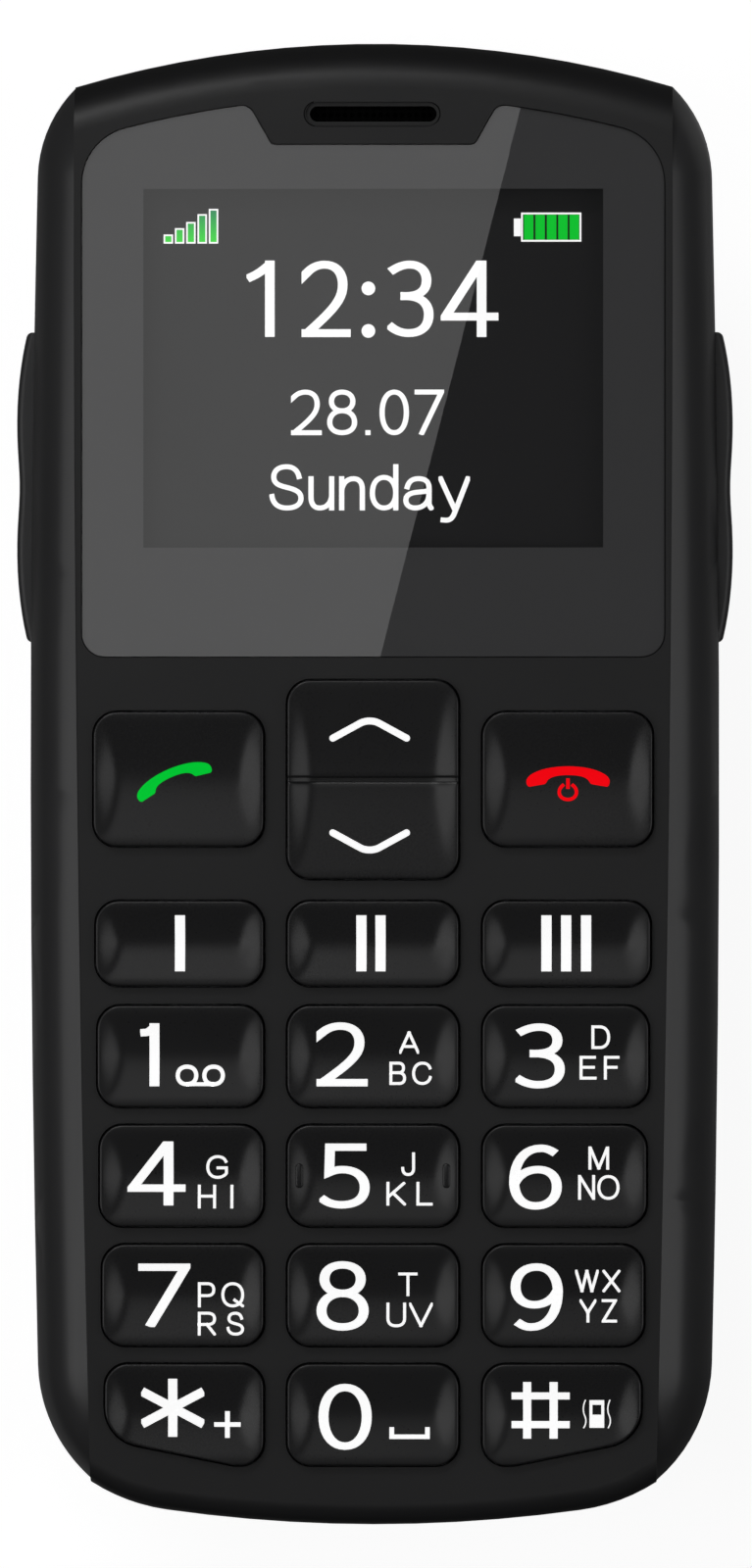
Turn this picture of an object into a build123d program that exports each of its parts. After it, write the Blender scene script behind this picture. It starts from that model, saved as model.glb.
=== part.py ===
from build123d import *
from collections import namedtuple
from math import atan, degrees, sqrt
import os

os.makedirs("parts", exist_ok=True)

# The handset lies on its back: +Z leaves the front face and +Y points to the earpiece
# Overall sizes, in millimetres
length = 114.5
body_thickness = 13.2
cover_height = 3.8
parting_gap = 0.1
overrun = 2.0

# Outline of the body, seen from the front
shoulder_x = 23.1
shoulder_drop = 3.35
upper_corner_x = 26.1
upper_corner_drop = 10.25
bulge_x = 26.65
bulge_rise = 54.0
lower_corner_x = 26.1
lower_corner_rise = 12.25
chin_x = 21.85
chin_rise = 3.3
sole_x = 16.0
sole_rise = 1.12
crease_middle_x = 22.75
crease_middle_rise = 49.3

# Roundings of the body's edges
rail_round = 5.0
brow_round = 3.5
lower_lip_round = 1.6
back_side_round = 3.6
back_end_round = 3.0

# Walls of the shells
rail_wall = 1.2
housing_wall = 1.3
end_wall = 1.5
face_wall = 2.0
cavity_bevel = 1.3
cover_wall = 1.2
cover_clearance = 0.2
shell_clearance = 0.15
shell_floor = 1.0
chamber_wall = 1.2

# Display lens, its printed mask and the window behind it
lens_half_width = 22.47
lens_key_gap = 1.85
lens_brow_margin = 4.25
lens_upper_corner = 4.4
lens_lower_corner = 1.8
lens_thickness = 1.0
lens_gap = 0.08
notch_top_half_width = 9.95
notch_floor_half_width = 7.85
notch_floor_drop = 7.95
notch_outer_corner = 1.0
notch_inner_corner = 0.5
mask_thickness = 0.1
display_width = 35.5
display_height = 27.7
display_drop = 11.33
window_border = 1.2

# Earpiece slot in the brow
earpiece_drop = 5.55
earpiece_width = 9.8
earpiece_height = 1.2
earpiece_rim = 0.32
earpiece_rim_depth = 0.3

# Front keys
key_gap = 0.15
key_rise = 0.8
key_corner = 1.8
key_land = 0.45
key_lip = 0.45
key_lip_thickness = 0.6
key_lip_gap = 0.05
dish_depth = 0.42
ramp_run = 1.7
column_half_width = 6.6
column_gap = 1.86
key_margin = 1.3
digit_height = 7.8
digit_row_gap = 1.42
last_row_rise = 4.64
quick_height = 6.54
quick_row_gap = 1.53
call_height = 10.34
call_row_shift = 0.04
rocker_height = 15.3
rocker_gap = 1.73
rocker_groove_width = 0.45
rocker_groove_depth = 0.3
rocker_lip_length = 3.6
corner_key_slant = 2.0
corner_key_knee = 2.3
corner_key_round = 3.0
knee_round = 1.5
locating_bar_x = 5.68
locating_bar_length = 1.9
locating_bar_width = 0.6
locating_bar_rise = 0.4
digit_rows = (
    ("key_1", "key_2", "key_3"),
    ("key_4", "key_5", "key_6"),
    ("key_7", "key_8", "key_9"),
    ("star_key", "key_0", "hash_key"),
)

# Side keys
side_key_drop = 34.3
side_key_length = 24.0
side_key_low = 5.3
side_key_height = 3.3
side_key_shelf = 0.75
side_key_peak = 1.15
side_key_peak_y = 3.1
side_key_dip = 1.0
side_key_end = 2.6
side_key_end_share = 0.33
side_key_round = 0.5
side_key_gap = 0.15
side_key_root = 1.6
side_key_lip_length = 5.0
side_key_lip = 0.7
side_key_lip_thickness = 0.7
side_key_nub_y = 6.3
side_key_nub_width = 2.0
side_key_nub_gap = 0.35

# Main board with its domes and the membrane over them
board_thickness = 1.0
board_low = 7.5
board_edge_gap = 0.4
dome_radius = 2.5
dome_top_radius = 1.6
dome_height = 0.3
dome_sides = 8
membrane_thickness = 0.5
membrane_gap = 0.05
membrane_border = 0.3
membrane_corner = 3.0
nub_radius = 1.4

# Display module
module_width = 43.0
module_foot_margin = 3.22
module_brow_margin = 2.28
module_rim = 1.1
panel_thickness = 0.9
gasket_thickness = 0.45
gasket_border = 1.9

# Receiver behind the earpiece slot
receiver_width = 14.5
receiver_height = 5.0
mesh_thickness = 0.15
mesh_margin = 1.1

# Battery, its well and its contacts
battery_width = 34.0
battery_length = 53.4
battery_thickness = 5.2
battery_rise = 9.35
battery_gap = 0.3
battery_corner = 1.2
battery_lift_gap = 0.15
well_floor = 0.7
contact_block_width = 10.0
contact_block_depth = 2.6
contact_block_drop = 3.6
contact_blade_width = 1.2
contact_blade_pitch = 2.9
contact_blade_reach = 0.2
contact_count = 3

# Card holders under the battery
card_holder_width = 14.0
card_holder_length = 16.5
card_holder_x = 8.4
card_holder_rise = 11.9
card_holder_drop = 0.65
card_holder_wall = 0.35
memory_slot_width = 13.0
memory_slot_length = 12.6
memory_slot_rise = 33.4
holder_gap = 0.2

# Loudspeaker over the slots of the back
speaker_drop = 14.25
speaker_radius = 9.0
speaker_cone_radius = 7.2
speaker_rim = 1.2
speaker_thickness = 4.0
speaker_cone_depth = 1.0
speaker_slot_count = 5
speaker_slot_pitch = 2.3
speaker_slot_width = 1.1
speaker_slot_length = 12.0
speaker_slot_taper_shares = (0.62, 0.9, 1.0, 0.9, 0.62)
speaker_collar = 0.9

# Emergency key on the back
alarm_key_radius = 5.5
alarm_key_recess = 0.3
alarm_key_gap = 0.15
alarm_key_dish = 0.5
alarm_key_rim = 0.3
alarm_key_lip = 0.8
alarm_key_lip_thickness = 0.6
alarm_key_stem_radius = 1.8
alarm_key_travel = 0.35

# Vibration motor
motor_x = -15.5
motor_margin = 6.1
motor_z = 4.9
motor_radius = 2.0
motor_length = 8.0
motor_shaft_radius = 0.4
motor_shaft_clearance = 0.04
motor_shaft_depth = 5.0
motor_shaft_reach = 4.4
motor_weight_radius = 2.1
motor_weight_length = 3.2
motor_weight_gap = 0.5
motor_boot_wall = 0.9
motor_boot_length = 5.6

# Sockets, lamp and microphone at the ends
jack_x = 12.5
jack_z = 6.35
jack_bore_radius = 1.8
jack_width = 6.0
jack_height = 4.2
jack_length = 12.0
jack_collar_radius = 2.0
port_width = 7.5
port_height = 2.5
port_length = 5.6
port_wall = 0.35
port_corner = 0.6
port_gap = 0.2
port_recess = 0.4
port_tongue_width = 3.8
port_tongue_thickness = 0.6
port_tongue_length = 3.6
lamp_x = -12.5
lamp_z = 7.0
lamp_lens_radius = 2.2
lamp_lens_dome = 0.5
lamp_size = 3.0
lamp_depth = 2.4
lamp_gap = 0.3
mic_x = -11.0
mic_z = 6.4
mic_radius = 2.0
mic_thickness = 1.3
mic_hole_radius = 0.5

# Shield can, antenna carrier and side switches
shield_low_x = 9.0
shield_width = 11.5
shield_length = 18.0
shield_margin = 3.1
shield_height = 1.7
shield_wall = 0.3
antenna_low_x = 7.5
antenna_high_x = 18.5
antenna_height = 4.6
antenna_step = 1.2
switch_depth = 1.5
switch_length = 3.4
switch_height = 1.5
switch_inset = 0.35

# Screws that hold the two shells together
screw_shank_radius = 0.8
screw_length = 5.4
screw_head_radius = 1.5
screw_head_height = 0.9
screw_thread_gap = 0.05
screw_hole_gap = 0.15
screw_seat_z = 3.4
boss_radius = 1.8
boss_foot_gap = 0.05
top_screw_x = 19.4
top_screw_drop = 6.25
side_screw_inset = 4.6
middle_screw_margin = 7.55
low_screw_rise = 16.25

# Nail notch that opens the cover
nail_notch_width = 12.0
nail_notch_radius = 9.0
nail_notch_depth = 0.9

# Places that follow from the sizes
upright = (Align.CENTER, Align.CENTER, Align.MIN)
bevel_share = 2 - sqrt(2)
foot_edge_count = 5
half_length = length / 2
shoulder = Vector(shoulder_x, half_length - shoulder_drop)
upper_corner = Vector(upper_corner_x, half_length - upper_corner_drop)
bulge = Vector(bulge_x, bulge_rise - half_length)
lower_corner = Vector(lower_corner_x, lower_corner_rise - half_length)
chin = Vector(chin_x, chin_rise - half_length)
sole = Vector(sole_x, sole_rise - half_length)
crease_middle = Vector(crease_middle_x, crease_middle_rise - half_length)
parting_z = cover_height + parting_gap
plate_low = body_thickness - face_wall
key_top = body_thickness + key_rise
lip_high = plate_low - key_lip_gap
lip_low = lip_high - key_lip_thickness
board_top = board_low + board_thickness
membrane_top = lip_low - membrane_gap
membrane_low = membrane_top - membrane_thickness
shell_low = cover_wall + battery_lift_gap
shell_floor_top = shell_low + shell_floor
well_top = shell_low + battery_thickness + battery_lift_gap
shell_top = well_top + well_floor
mask_low = body_thickness - lens_thickness - mask_thickness
column_x = column_half_width * 2 + column_gap

# Places along the phone: the window and its display hang from the brow, the keys stand on the chin
notch_floor_y = half_length - notch_floor_drop
earpiece_y = half_length - earpiece_drop
display_y = half_length - display_drop - display_height / 2
module_height = display_height + module_foot_margin + module_brow_margin
module_y = display_y + (module_brow_margin - module_foot_margin) / 2
row_pitch = digit_height + digit_row_gap
last_row_y = last_row_rise + digit_height / 2 - half_length
first_digit_row_y = last_row_y + (len(digit_rows) - 1) * row_pitch
quick_row_y = first_digit_row_y + (digit_height + quick_height) / 2 + quick_row_gap
rocker_y = quick_row_y + (quick_height + rocker_height) / 2 + rocker_gap
call_row_y = rocker_y + call_row_shift
lens_low = rocker_y + rocker_height / 2 + lens_key_gap
side_key_y = half_length - side_key_drop
top_screw_y = half_length - top_screw_drop
middle_screw_y = side_key_y - side_key_length / 2 - middle_screw_margin
low_screw_y = low_screw_rise - half_length

# Places at the back: the battery stands on the chin, its contacts and the chamber follow it
speaker_y = half_length - speaker_drop
battery_low_y = battery_rise - half_length
battery_y = battery_low_y + battery_length / 2
card_holder_y = battery_low_y + card_holder_rise
memory_slot_y = battery_low_y + memory_slot_rise
contact_y = battery_low_y + battery_length + contact_blade_reach + contact_block_depth / 2
chamber_y = contact_y + contact_block_depth / 2 + contact_blade_reach * 2 + chamber_wall
speaker_collar_y = speaker_y - speaker_radius - shell_clearance - speaker_collar
alarm_key_y = (chamber_y + speaker_collar_y) / 2
motor_y = chamber_y + motor_margin
shield_y = chamber_y + shield_margin + shield_length / 2


def mirrored(edges):
    """The edges and their mirror images across the middle plane."""
    return edges + [edge.mirror(Plane.YZ) for edge in edges]


def prism(face, low, high):
    """A straight solid over a flat outline, between two heights."""
    return Pos(0, 0, low) * extrude(face, amount=high - low)


def box(x, y, low, width, depth, height):
    """An upright block by the middle of its foot."""
    return Pos(x, y, low) * Box(width, depth, height, align=upright)


def disc(x, y, low, radius, height):
    """An upright round by the middle of its foot."""
    return Pos(x, y, low) * Cylinder(radius, height, align=upright)


def rod(plane, radius, reach):
    """A round bar that starts at a plane and follows its normal."""
    return plane * Cylinder(radius, reach, align=upright)


def both_sides(solid):
    """A solid and its mirror image across the middle plane."""
    return solid + mirror(solid, about=Plane.YZ)


# Outlines


def side_face(inset):
    """The long sides and the four corners, closed smoothly past the ends."""
    side = ThreePointArc(lower_corner, bulge, upper_corner)
    shoulder_arc = TangentArc(upper_corner, shoulder, tangent=side % 1)
    chin_arc = TangentArc(lower_corner, chin, tangent=-(side % 0))
    rising = shoulder_arc % 1
    falling = chin_arc % 1
    apex = Vector(0, shoulder.Y + shoulder.X * rising.Y / (1 - rising.X))
    nadir = Vector(0, chin.Y + chin.X * falling.Y / (1 - falling.X))
    upper_cap = TangentArc(shoulder, apex, tangent=rising)
    lower_cap = TangentArc(chin, nadir, tangent=falling)
    face = make_face(mirrored([lower_cap, chin_arc, side, shoulder_arc, upper_cap]))
    return offset(face, amount=-inset) if inset else face


def top_arc_drop(x, margin):
    """How far the top arc, moved in by a margin, lies under its middle at x."""
    radius = (shoulder_x**2 + shoulder_drop**2) / (2 * shoulder_drop) - margin
    return radius - sqrt(radius**2 - x**2)


def end_face(inset):
    """The top and bottom arcs, with straight sides outside the body."""
    wide = bulge_x + overrun
    brow_end = Vector(wide, half_length - top_arc_drop(wide, 0))
    brow = ThreePointArc(Vector(-brow_end.X, brow_end.Y), Vector(0, half_length), brow_end)
    floor = ThreePointArc(Vector(-sole.X, sole.Y), Vector(0, -half_length), sole)
    blend = TangentArc(sole, chin, tangent=floor % 1)
    leaving = blend % 1
    tail_end = chin + leaving * ((wide - chin.X) / leaving.X)
    tail = Line(chin, tail_end)
    flank = Line(tail_end, brow_end)
    face = make_face(mirrored([blend, tail, flank]) + [floor, brow])
    return offset(face, amount=-inset, kind=Kind.INTERSECTION) if inset else face


def crease_region():
    """The right side beyond the crease between front plate and rail."""
    wide = bulge_x + overrun
    crease = ThreePointArc(chin, crease_middle, shoulder)
    above = Line(shoulder, Vector(wide, shoulder.Y))
    beside = Line(Vector(wide, shoulder.Y), Vector(wide, chin.Y))
    below = Line(Vector(wide, chin.Y), chin)
    return make_face([crease, above, beside, below])


def middle_region():
    """All that lies between the two creases."""
    high = half_length + overrun
    crease = ThreePointArc(chin, crease_middle, shoulder)
    above = Line(shoulder, Vector(shoulder.X, high))
    below = Line(Vector(chin.X, -high), chin)
    across_top = Line(Vector(shoulder.X, high), Vector(-shoulder.X, high))
    across_bottom = Line(Vector(chin.X, -high), Vector(-chin.X, -high))
    return make_face(mirrored([crease, above, below]) + [across_top, across_bottom])


def crease_x(y):
    """Half the width between the creases at a height of the front."""
    points = [(shoulder.Y, shoulder.X), (crease_middle.Y, crease_middle.X), (chin.Y, chin.X)]
    total = 0
    for here, value in points:
        for other, _ in points:
            if other != here:
                value *= (y - other) / (here - other)
        total += value
    return total


def side_x(y):
    """Half the body's width at a height of the straight sides."""
    sagitta = bulge.X - (upper_corner.X + lower_corner.X) / 2
    half_span = (upper_corner.Y - lower_corner.Y) / 2
    middle = (upper_corner.Y + lower_corner.Y) / 2
    return bulge.X - sagitta * ((y - middle) / half_span) ** 2


# Shell bodies


def softened(edges, radius, inset):
    """Outer edges get a full rounding, inner ones the bevel that lies against it."""
    if inset:
        return chamfer(edges, (radius - inset) * bevel_share)
    return fillet(edges, radius)


def back_body(inset, floor):
    """The back of the body up to the parting line, with its rounded lower edges."""
    side_block = prism(side_face(inset), floor, cover_height)
    side_rim = side_block.faces().sort_by(Axis.Z)[0].edges()
    side_block = softened(side_rim, back_side_round, inset)
    end_block = prism(end_face(inset), floor, cover_height)
    end_rim = end_block.faces().sort_by(Axis.Z)[0].edges().sort_by(Axis.Y)
    end_block = softened([end_rim[-1]] + end_rim[:foot_edge_count], back_end_round, inset)
    return side_block & end_block


def inner_body(side_inset, end_inset, low, high):
    """A straight block that follows the body's outline at two insets."""
    return prism(side_face(side_inset), low, high) & prism(end_face(end_inset), low, high)


def rail_drop(width):
    """How far the rail's rounding has fallen at the crease, for a rail of that width."""
    return rail_round - sqrt(rail_round**2 - (rail_round - width) ** 2)


def rail_block(inset):
    """The rounded flanks of the front, tilted so that both ends meet the front plate."""
    upper_drop = rail_drop(upper_corner.X - crease_x(upper_corner.Y))
    lower_drop = rail_drop(lower_corner.X - crease_x(lower_corner.Y))
    middle_drop = (upper_drop + lower_drop) / 2
    tilt = degrees(atan((upper_drop - lower_drop) / (upper_corner.Y - lower_corner.Y)))
    block = prism(side_face(inset), cover_wall, body_thickness + middle_drop - inset)
    block = softened(block.faces().sort_by(Axis.Z)[-1].edges(), rail_round, inset)
    return Pos(0, 0, body_thickness) * Rot(tilt, 0, 0) * Pos(0, 0, -body_thickness) * block


def front_core():
    """The middle of the front housing, with its rounded brow and lower lip."""
    block = prism(end_face(0), parting_z, body_thickness)
    rim = block.faces().sort_by(Axis.Z)[-1].edges().sort_by(Axis.Y)
    brow_edge = rim[-1]
    block = fillet(brow_edge, brow_round)
    rim = block.faces().sort_by(Axis.Z)[-1].edges().sort_by(Axis.Y)
    block = fillet(rim[:foot_edge_count], lower_lip_round)
    return block & prism(middle_region(), parting_z, body_thickness)


# Front keys

KeyPlan = namedtuple("KeyPlan", "name left right low high")


def key_plans():
    """The front keys by name, with their edges on the front plate."""
    plans = []

    def row(names, y, height):
        outer = crease_x(y) - key_margin
        inner = column_x - column_half_width
        spans = ((-outer, -inner), (-column_half_width, column_half_width), (inner, outer))
        for name, (left, right) in zip(names, spans):
            if name:
                plans.append(KeyPlan(name, left, right, y - height / 2, y + height / 2))

    row(("call_key", None, "end_key"), call_row_y, call_height)
    row((None, "navigation_rocker", None), rocker_y, rocker_height)
    row(("quick_key_1", "quick_key_2", "quick_key_3"), quick_row_y, quick_height)
    for index, names in enumerate(digit_rows):
        row(names, first_digit_row_y - index * row_pitch, digit_height)
    return plans


def key_frame(plan):
    """A key's outline with sharp corners; star and hash keys have a slanted foot."""
    if plan.name not in ("star_key", "hash_key"):
        middle = Pos((plan.left + plan.right) / 2, (plan.low + plan.high) / 2)
        return middle * Rectangle(plan.right - plan.left, plan.high - plan.low)
    outward = -1 if plan.name == "star_key" else 1
    inner = plan.right if outward < 0 else plan.left
    outer = plan.left if outward < 0 else plan.right
    knee = inner + outward * corner_key_knee
    points = [(inner, plan.low), (inner, plan.high), (outer, plan.high)]
    points += [(outer, plan.low + corner_key_slant), (knee, plan.low)]
    return make_face(Polyline(*points, close=True))


def key_face(plan, grow=0):
    """A key's outline with rounded corners."""
    face = key_frame(plan)
    if plan.name in ("star_key", "hash_key"):
        outward = -1 if plan.name == "star_key" else 1
        knee = (plan.right if outward < 0 else plan.left) + outward * corner_key_knee
        corners = face.vertices().sort_by(Axis.X, reverse=outward > 0)
        outer_corners = sorted(corners[:2], key=lambda corner: corner.Y)
        face = fillet(outer_corners[0], corner_key_round)
        sharp = [corner for corner in face.vertices() if abs(corner.X - knee) < corner_key_knee / 2]
        face = fillet(sharp, knee_round)
    square = [corner for corner in face.vertices() if is_corner(corner, plan)]
    face = fillet(square, key_corner)
    return offset(face, amount=grow) if grow else face


def is_corner(corner, plan):
    """Whether a point is one of the corners of the key's frame."""
    at_side = min(abs(corner.X - plan.left), abs(corner.X - plan.right)) < key_gap
    at_end = min(abs(corner.Y - plan.low), abs(corner.Y - plan.high)) < key_gap
    return at_side and at_end


def dish(left, right, low, high):
    """The hollow of a key top: a trough along X whose two ends rise as ramps."""
    half_width = (right - left) / 2
    half_chord = (high - low) / 2 - key_land
    radius = (half_chord**2 + dish_depth**2) / (2 * dish_depth)
    trough_z = key_top - dish_depth + radius
    middle = Pos((left + right) / 2, (low + high) / 2)
    trough = Pos(0, 0, trough_z) * Rot(0, 90, 0) * Cylinder(radius, right - left)
    flat = half_width - ramp_run
    slope = dish_depth / (ramp_run - key_land)
    lift = dish_depth + overrun
    low_z = key_top - dish_depth
    wide = flat + lift / slope
    points = [(-flat, low_z), (flat, low_z), (wide, low_z + lift), (-wide, low_z + lift)]
    ramps = extrude(Plane.XZ * make_face(Polyline(*points, close=True)), amount=high - low, both=True)
    return middle * (trough & ramps)


def front_key(plan):
    """A key cap with a dished top and a lip that keeps it under the plate."""
    cap = prism(key_face(plan), lip_low, key_top)
    if plan.name == "navigation_rocker":
        middle = (plan.low + plan.high) / 2
        cap -= dish(plan.left, plan.right, plan.low, middle + key_land)
        cap -= dish(plan.left, plan.right, middle - key_land, plan.high)
        groove_low = key_top - rocker_groove_depth
        width = (plan.right - plan.left) + key_lip
        cap -= box(0, middle, groove_low - dish_depth / 2, width, rocker_groove_width, overrun)
        lip_width = plan.right - plan.left + 2 * key_lip
        lip_height = key_lip_thickness - key_lip_gap * 2
        return cap + box(0, middle, lip_low, lip_width, rocker_lip_length, lip_height)
    cap -= dish(plan.left, plan.right, plan.low, plan.high)
    if plan.name == "key_5":
        y = (plan.low + plan.high) / 2
        face = SlotOverall(locating_bar_length, locating_bar_width, rotation=90)
        floor_z = key_top - dish_depth
        bar = prism(Pos(locating_bar_x, y) * face, lip_high, floor_z + locating_bar_rise)
        cap += both_sides(bar)
    lip = prism(offset(key_frame(plan), amount=key_lip, kind=Kind.INTERSECTION), lip_low, lip_high)
    side_inset = rail_wall + housing_wall + cavity_bevel + key_gap
    return cap + (lip & inner_body(side_inset, end_wall + key_gap, lip_low, lip_high))


# Side keys


def side_key_profile():
    """Half the outer line of a side key over its base line, from its middle to one end."""
    half = side_key_length / 2
    points = [
        (0, side_key_dip),
        (side_key_peak_y, side_key_peak),
        (half - side_key_end, side_key_shelf + (side_key_peak - side_key_shelf) * side_key_end_share),
        (half, side_key_shelf / 2),
    ]
    return points


def side_key():
    """The right side key: a long rocker with two humps, its tab and its two nubs."""
    base_x = side_x(side_key_y)
    half = side_key_length / 2
    upper = [Vector(base_x + reach, side_key_y + along) for along, reach in side_key_profile()]
    lower = [Vector(point.X, 2 * side_key_y - point.Y) for point in upper]
    crown = Spline(*(lower[:0:-1] + upper))
    root_x = base_x - side_key_root
    foot_low = Vector(root_x, side_key_y - half)
    foot_high = Vector(root_x, side_key_y + half)
    frame = [Line(upper[-1], foot_high), Line(foot_high, foot_low), Line(foot_low, lower[-1])]
    body = prism(make_face([crown] + frame), side_key_low, side_key_low + side_key_height)
    crown_faces = body.faces().sort_by(Axis.X)[-1]
    body = fillet(crown_faces.edges(), side_key_round)
    tab_x = base_x - rail_wall - side_key_gap - side_key_lip_thickness / 2
    tab_low = side_key_low - side_key_lip
    tab_height = side_key_height + 2 * side_key_lip
    tab = box(tab_x, side_key_y, tab_low, side_key_lip_thickness, side_key_lip_length, tab_height)
    nub_reach = root_x - side_switch_face() - side_key_nub_gap
    nub_x = root_x - nub_reach / 2
    nub_height = side_key_height - side_key_lip * 2
    for y in (side_key_y - side_key_nub_y, side_key_y + side_key_nub_y):
        body += box(nub_x, y, side_key_low + side_key_lip, nub_reach, side_key_nub_width, nub_height)
    return body + tab


def side_switch_face():
    """How far out the faces of the side switches stand."""
    return side_x(side_key_y) - rail_wall - housing_wall - board_edge_gap + switch_inset - side_key_nub_gap


def side_key_slot():
    """The opening for a side key through the rail."""
    base_x = side_x(side_key_y)
    low = side_key_low - side_key_gap
    height = side_key_height + side_key_gap * 2
    width = (side_key_root + overrun) * 2
    return box(base_x, side_key_y, low, width, side_key_length + side_key_gap * 2, height)


def side_key_bay():
    """The room for a side key's tab and nubs inside the shells."""
    outer = side_x(side_key_y) - rail_wall
    inner = side_switch_face() - switch_depth - side_key_gap
    reach = outer + side_key_gap - inner
    margin = side_key_lip + side_key_gap * 2
    low = side_key_low - margin
    long = side_key_length + side_key_gap * 2
    return box(inner + reach / 2, side_key_y, low, reach, long, side_key_height + margin * 2)


# Front side pieces


def corners_near(face, x, y):
    """The corners of a symmetric outline that lie nearest to a place and to its mirror image."""
    corners = sorted(face.vertices(), key=lambda corner: (abs(corner.X) - x) ** 2 + (corner.Y - y) ** 2)
    return corners[:2]


def lens_face(grow=0):
    """The display window: parallel to the brow above, with a notch under the earpiece."""
    side_top = half_length - lens_brow_margin - top_arc_drop(lens_half_width, lens_brow_margin)
    right_top = Vector(lens_half_width, side_top)
    right_low = Vector(lens_half_width, lens_low)
    left_top = Vector(-right_top.X, right_top.Y)
    left_low = Vector(-right_low.X, right_low.Y)
    brow = ThreePointArc(left_top, Vector(0, half_length - lens_brow_margin), right_top)
    frame = [Line(right_top, right_low), Line(right_low, left_low), Line(left_low, left_top)]
    face = make_face([brow] + frame)
    slant = (notch_top_half_width - notch_floor_half_width) / (half_length - lens_brow_margin - notch_floor_y)
    high = half_length
    high_x = notch_floor_half_width + slant * (high - notch_floor_y)
    points = [(notch_floor_half_width, notch_floor_y), (high_x, high)]
    points += [(-x, y) for x, y in reversed(points)]
    face -= make_face(Polyline(*points, close=True))
    face = fillet(corners_near(face, lens_half_width, lens_low), lens_lower_corner)
    face = fillet(corners_near(face, lens_half_width, side_top), lens_upper_corner)
    shoulder_y = half_length - lens_brow_margin - top_arc_drop(notch_top_half_width, lens_brow_margin)
    face = fillet(corners_near(face, notch_top_half_width, shoulder_y), notch_outer_corner)
    face = fillet(corners_near(face, notch_floor_half_width, notch_floor_y), notch_inner_corner)
    return offset(face, amount=grow) if grow else face


def display_face(border):
    """The display area, grown by a border."""
    return Pos(0, display_y) * Rectangle(display_width + border * 2, display_height + border * 2)


def earpiece_face(grow):
    """The earpiece slot with round ends, grown by a rim."""
    return Pos(0, earpiece_y) * SlotOverall(earpiece_width + grow * 2, earpiece_height + grow * 2)


def screw_places():
    """The six screws, in plan."""
    places = []
    for sign in (-1, 1):
        places.append((sign * top_screw_x, top_screw_y))
        places.append((sign * (side_x(middle_screw_y) - side_screw_inset), middle_screw_y))
        places.append((sign * (side_x(low_screw_y) - side_screw_inset), low_screw_y))
    return places


def front_housing():
    """The front shell: face plate, brow, flanks under the rails, wells, lens seat and bosses."""
    regions = both_sides(prism(crease_region(), parting_z, body_thickness))
    body = front_core() + (rail_block(rail_wall) & regions)
    body -= front_cavity()
    for x, y in screw_places():
        high = plate_low if abs(y - top_screw_y) < boss_radius else membrane_low - boss_foot_gap
        low = shell_top + boss_foot_gap
        reach = side_x(y) - rail_wall - abs(x) - housing_wall / 2
        boss = disc(x, y, low, boss_radius, high - low)
        if high != plate_low:
            sign = 1 if x > 0 else -1
            boss += box(x + sign * reach / 2, y, low, reach, boss_radius * 2, high - low)
        body += boss
    for x, y in screw_places():
        depth = screw_seat_z + screw_length + boss_foot_gap * 2 - shell_top
        body -= disc(x, y, shell_top, screw_shank_radius + screw_thread_gap, depth)
    for plan in key_plans():
        body -= prism(key_face(plan, key_gap), plate_low - overrun, body_thickness + overrun)
    body -= prism(lens_face(lens_gap), mask_low, body_thickness + overrun)
    body -= prism(display_face(window_border), plate_low - overrun, body_thickness)
    body -= prism(earpiece_face(0), plate_low - overrun, body_thickness + overrun)
    body -= prism(earpiece_face(earpiece_rim), body_thickness - earpiece_rim_depth, body_thickness + overrun)
    body -= both_sides(side_key_bay())
    body -= port_opening() + jack_opening() + lamp_opening() + mic_opening()
    return body


def front_cavity():
    """The hollow of the front shell."""
    low = cover_height - overrun
    side_block = prism(side_face(rail_wall + housing_wall), low, plate_low)
    side_block = chamfer(side_block.faces().sort_by(Axis.Z)[-1].edges(), cavity_bevel)
    return side_block & prism(end_face(end_wall), low, plate_low)


def rail():
    """The right rail, with the slot for its side key."""
    region = prism(crease_region(), parting_z, body_thickness + overrun)
    shell = (rail_block(0) & region) - rail_block(rail_wall)
    return shell - side_key_slot()


def display_lens():
    """The clear display window, flush with the front plate."""
    return prism(lens_face(), body_thickness - lens_thickness, body_thickness)


def lens_mask():
    """The printed border behind the lens, open over the display."""
    outline = lens_face() - display_face(0)
    return prism(outline, mask_low, body_thickness - lens_thickness)


def earpiece_mesh():
    """The fine mesh behind the earpiece slot."""
    return prism(earpiece_face(mesh_margin), plate_low - mesh_thickness, plate_low)


def receiver():
    """The receiver, with a stepped cap."""
    high = plate_low - mesh_thickness
    foot = box(0, earpiece_y, board_top, receiver_width, receiver_height, high - board_top)
    return fillet(foot.edges().filter_by(Axis.Z), earpiece_height)


def display_module():
    """The tray of the display, open at the front for the panel."""
    high = plate_low - gasket_thickness
    tray = box(0, module_y, board_top, module_width, module_height, high - board_top)
    pocket_width = module_width - module_rim * 2
    pocket_height = module_height - module_rim * 2
    return tray - box(0, module_y, high - panel_thickness, pocket_width, pocket_height, overrun)


def display_panel():
    """The glass of the display in its tray."""
    high = plate_low - gasket_thickness
    width = module_width - module_rim * 2
    height = module_height - module_rim * 2
    return box(0, module_y, high - panel_thickness, width, height, panel_thickness)


def display_gasket():
    """The foam frame between the display and the front plate."""
    outer = display_face(window_border + gasket_border)
    return prism(outer - display_face(window_border), plate_low - gasket_thickness, plate_low)


# Board and what it carries


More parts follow.
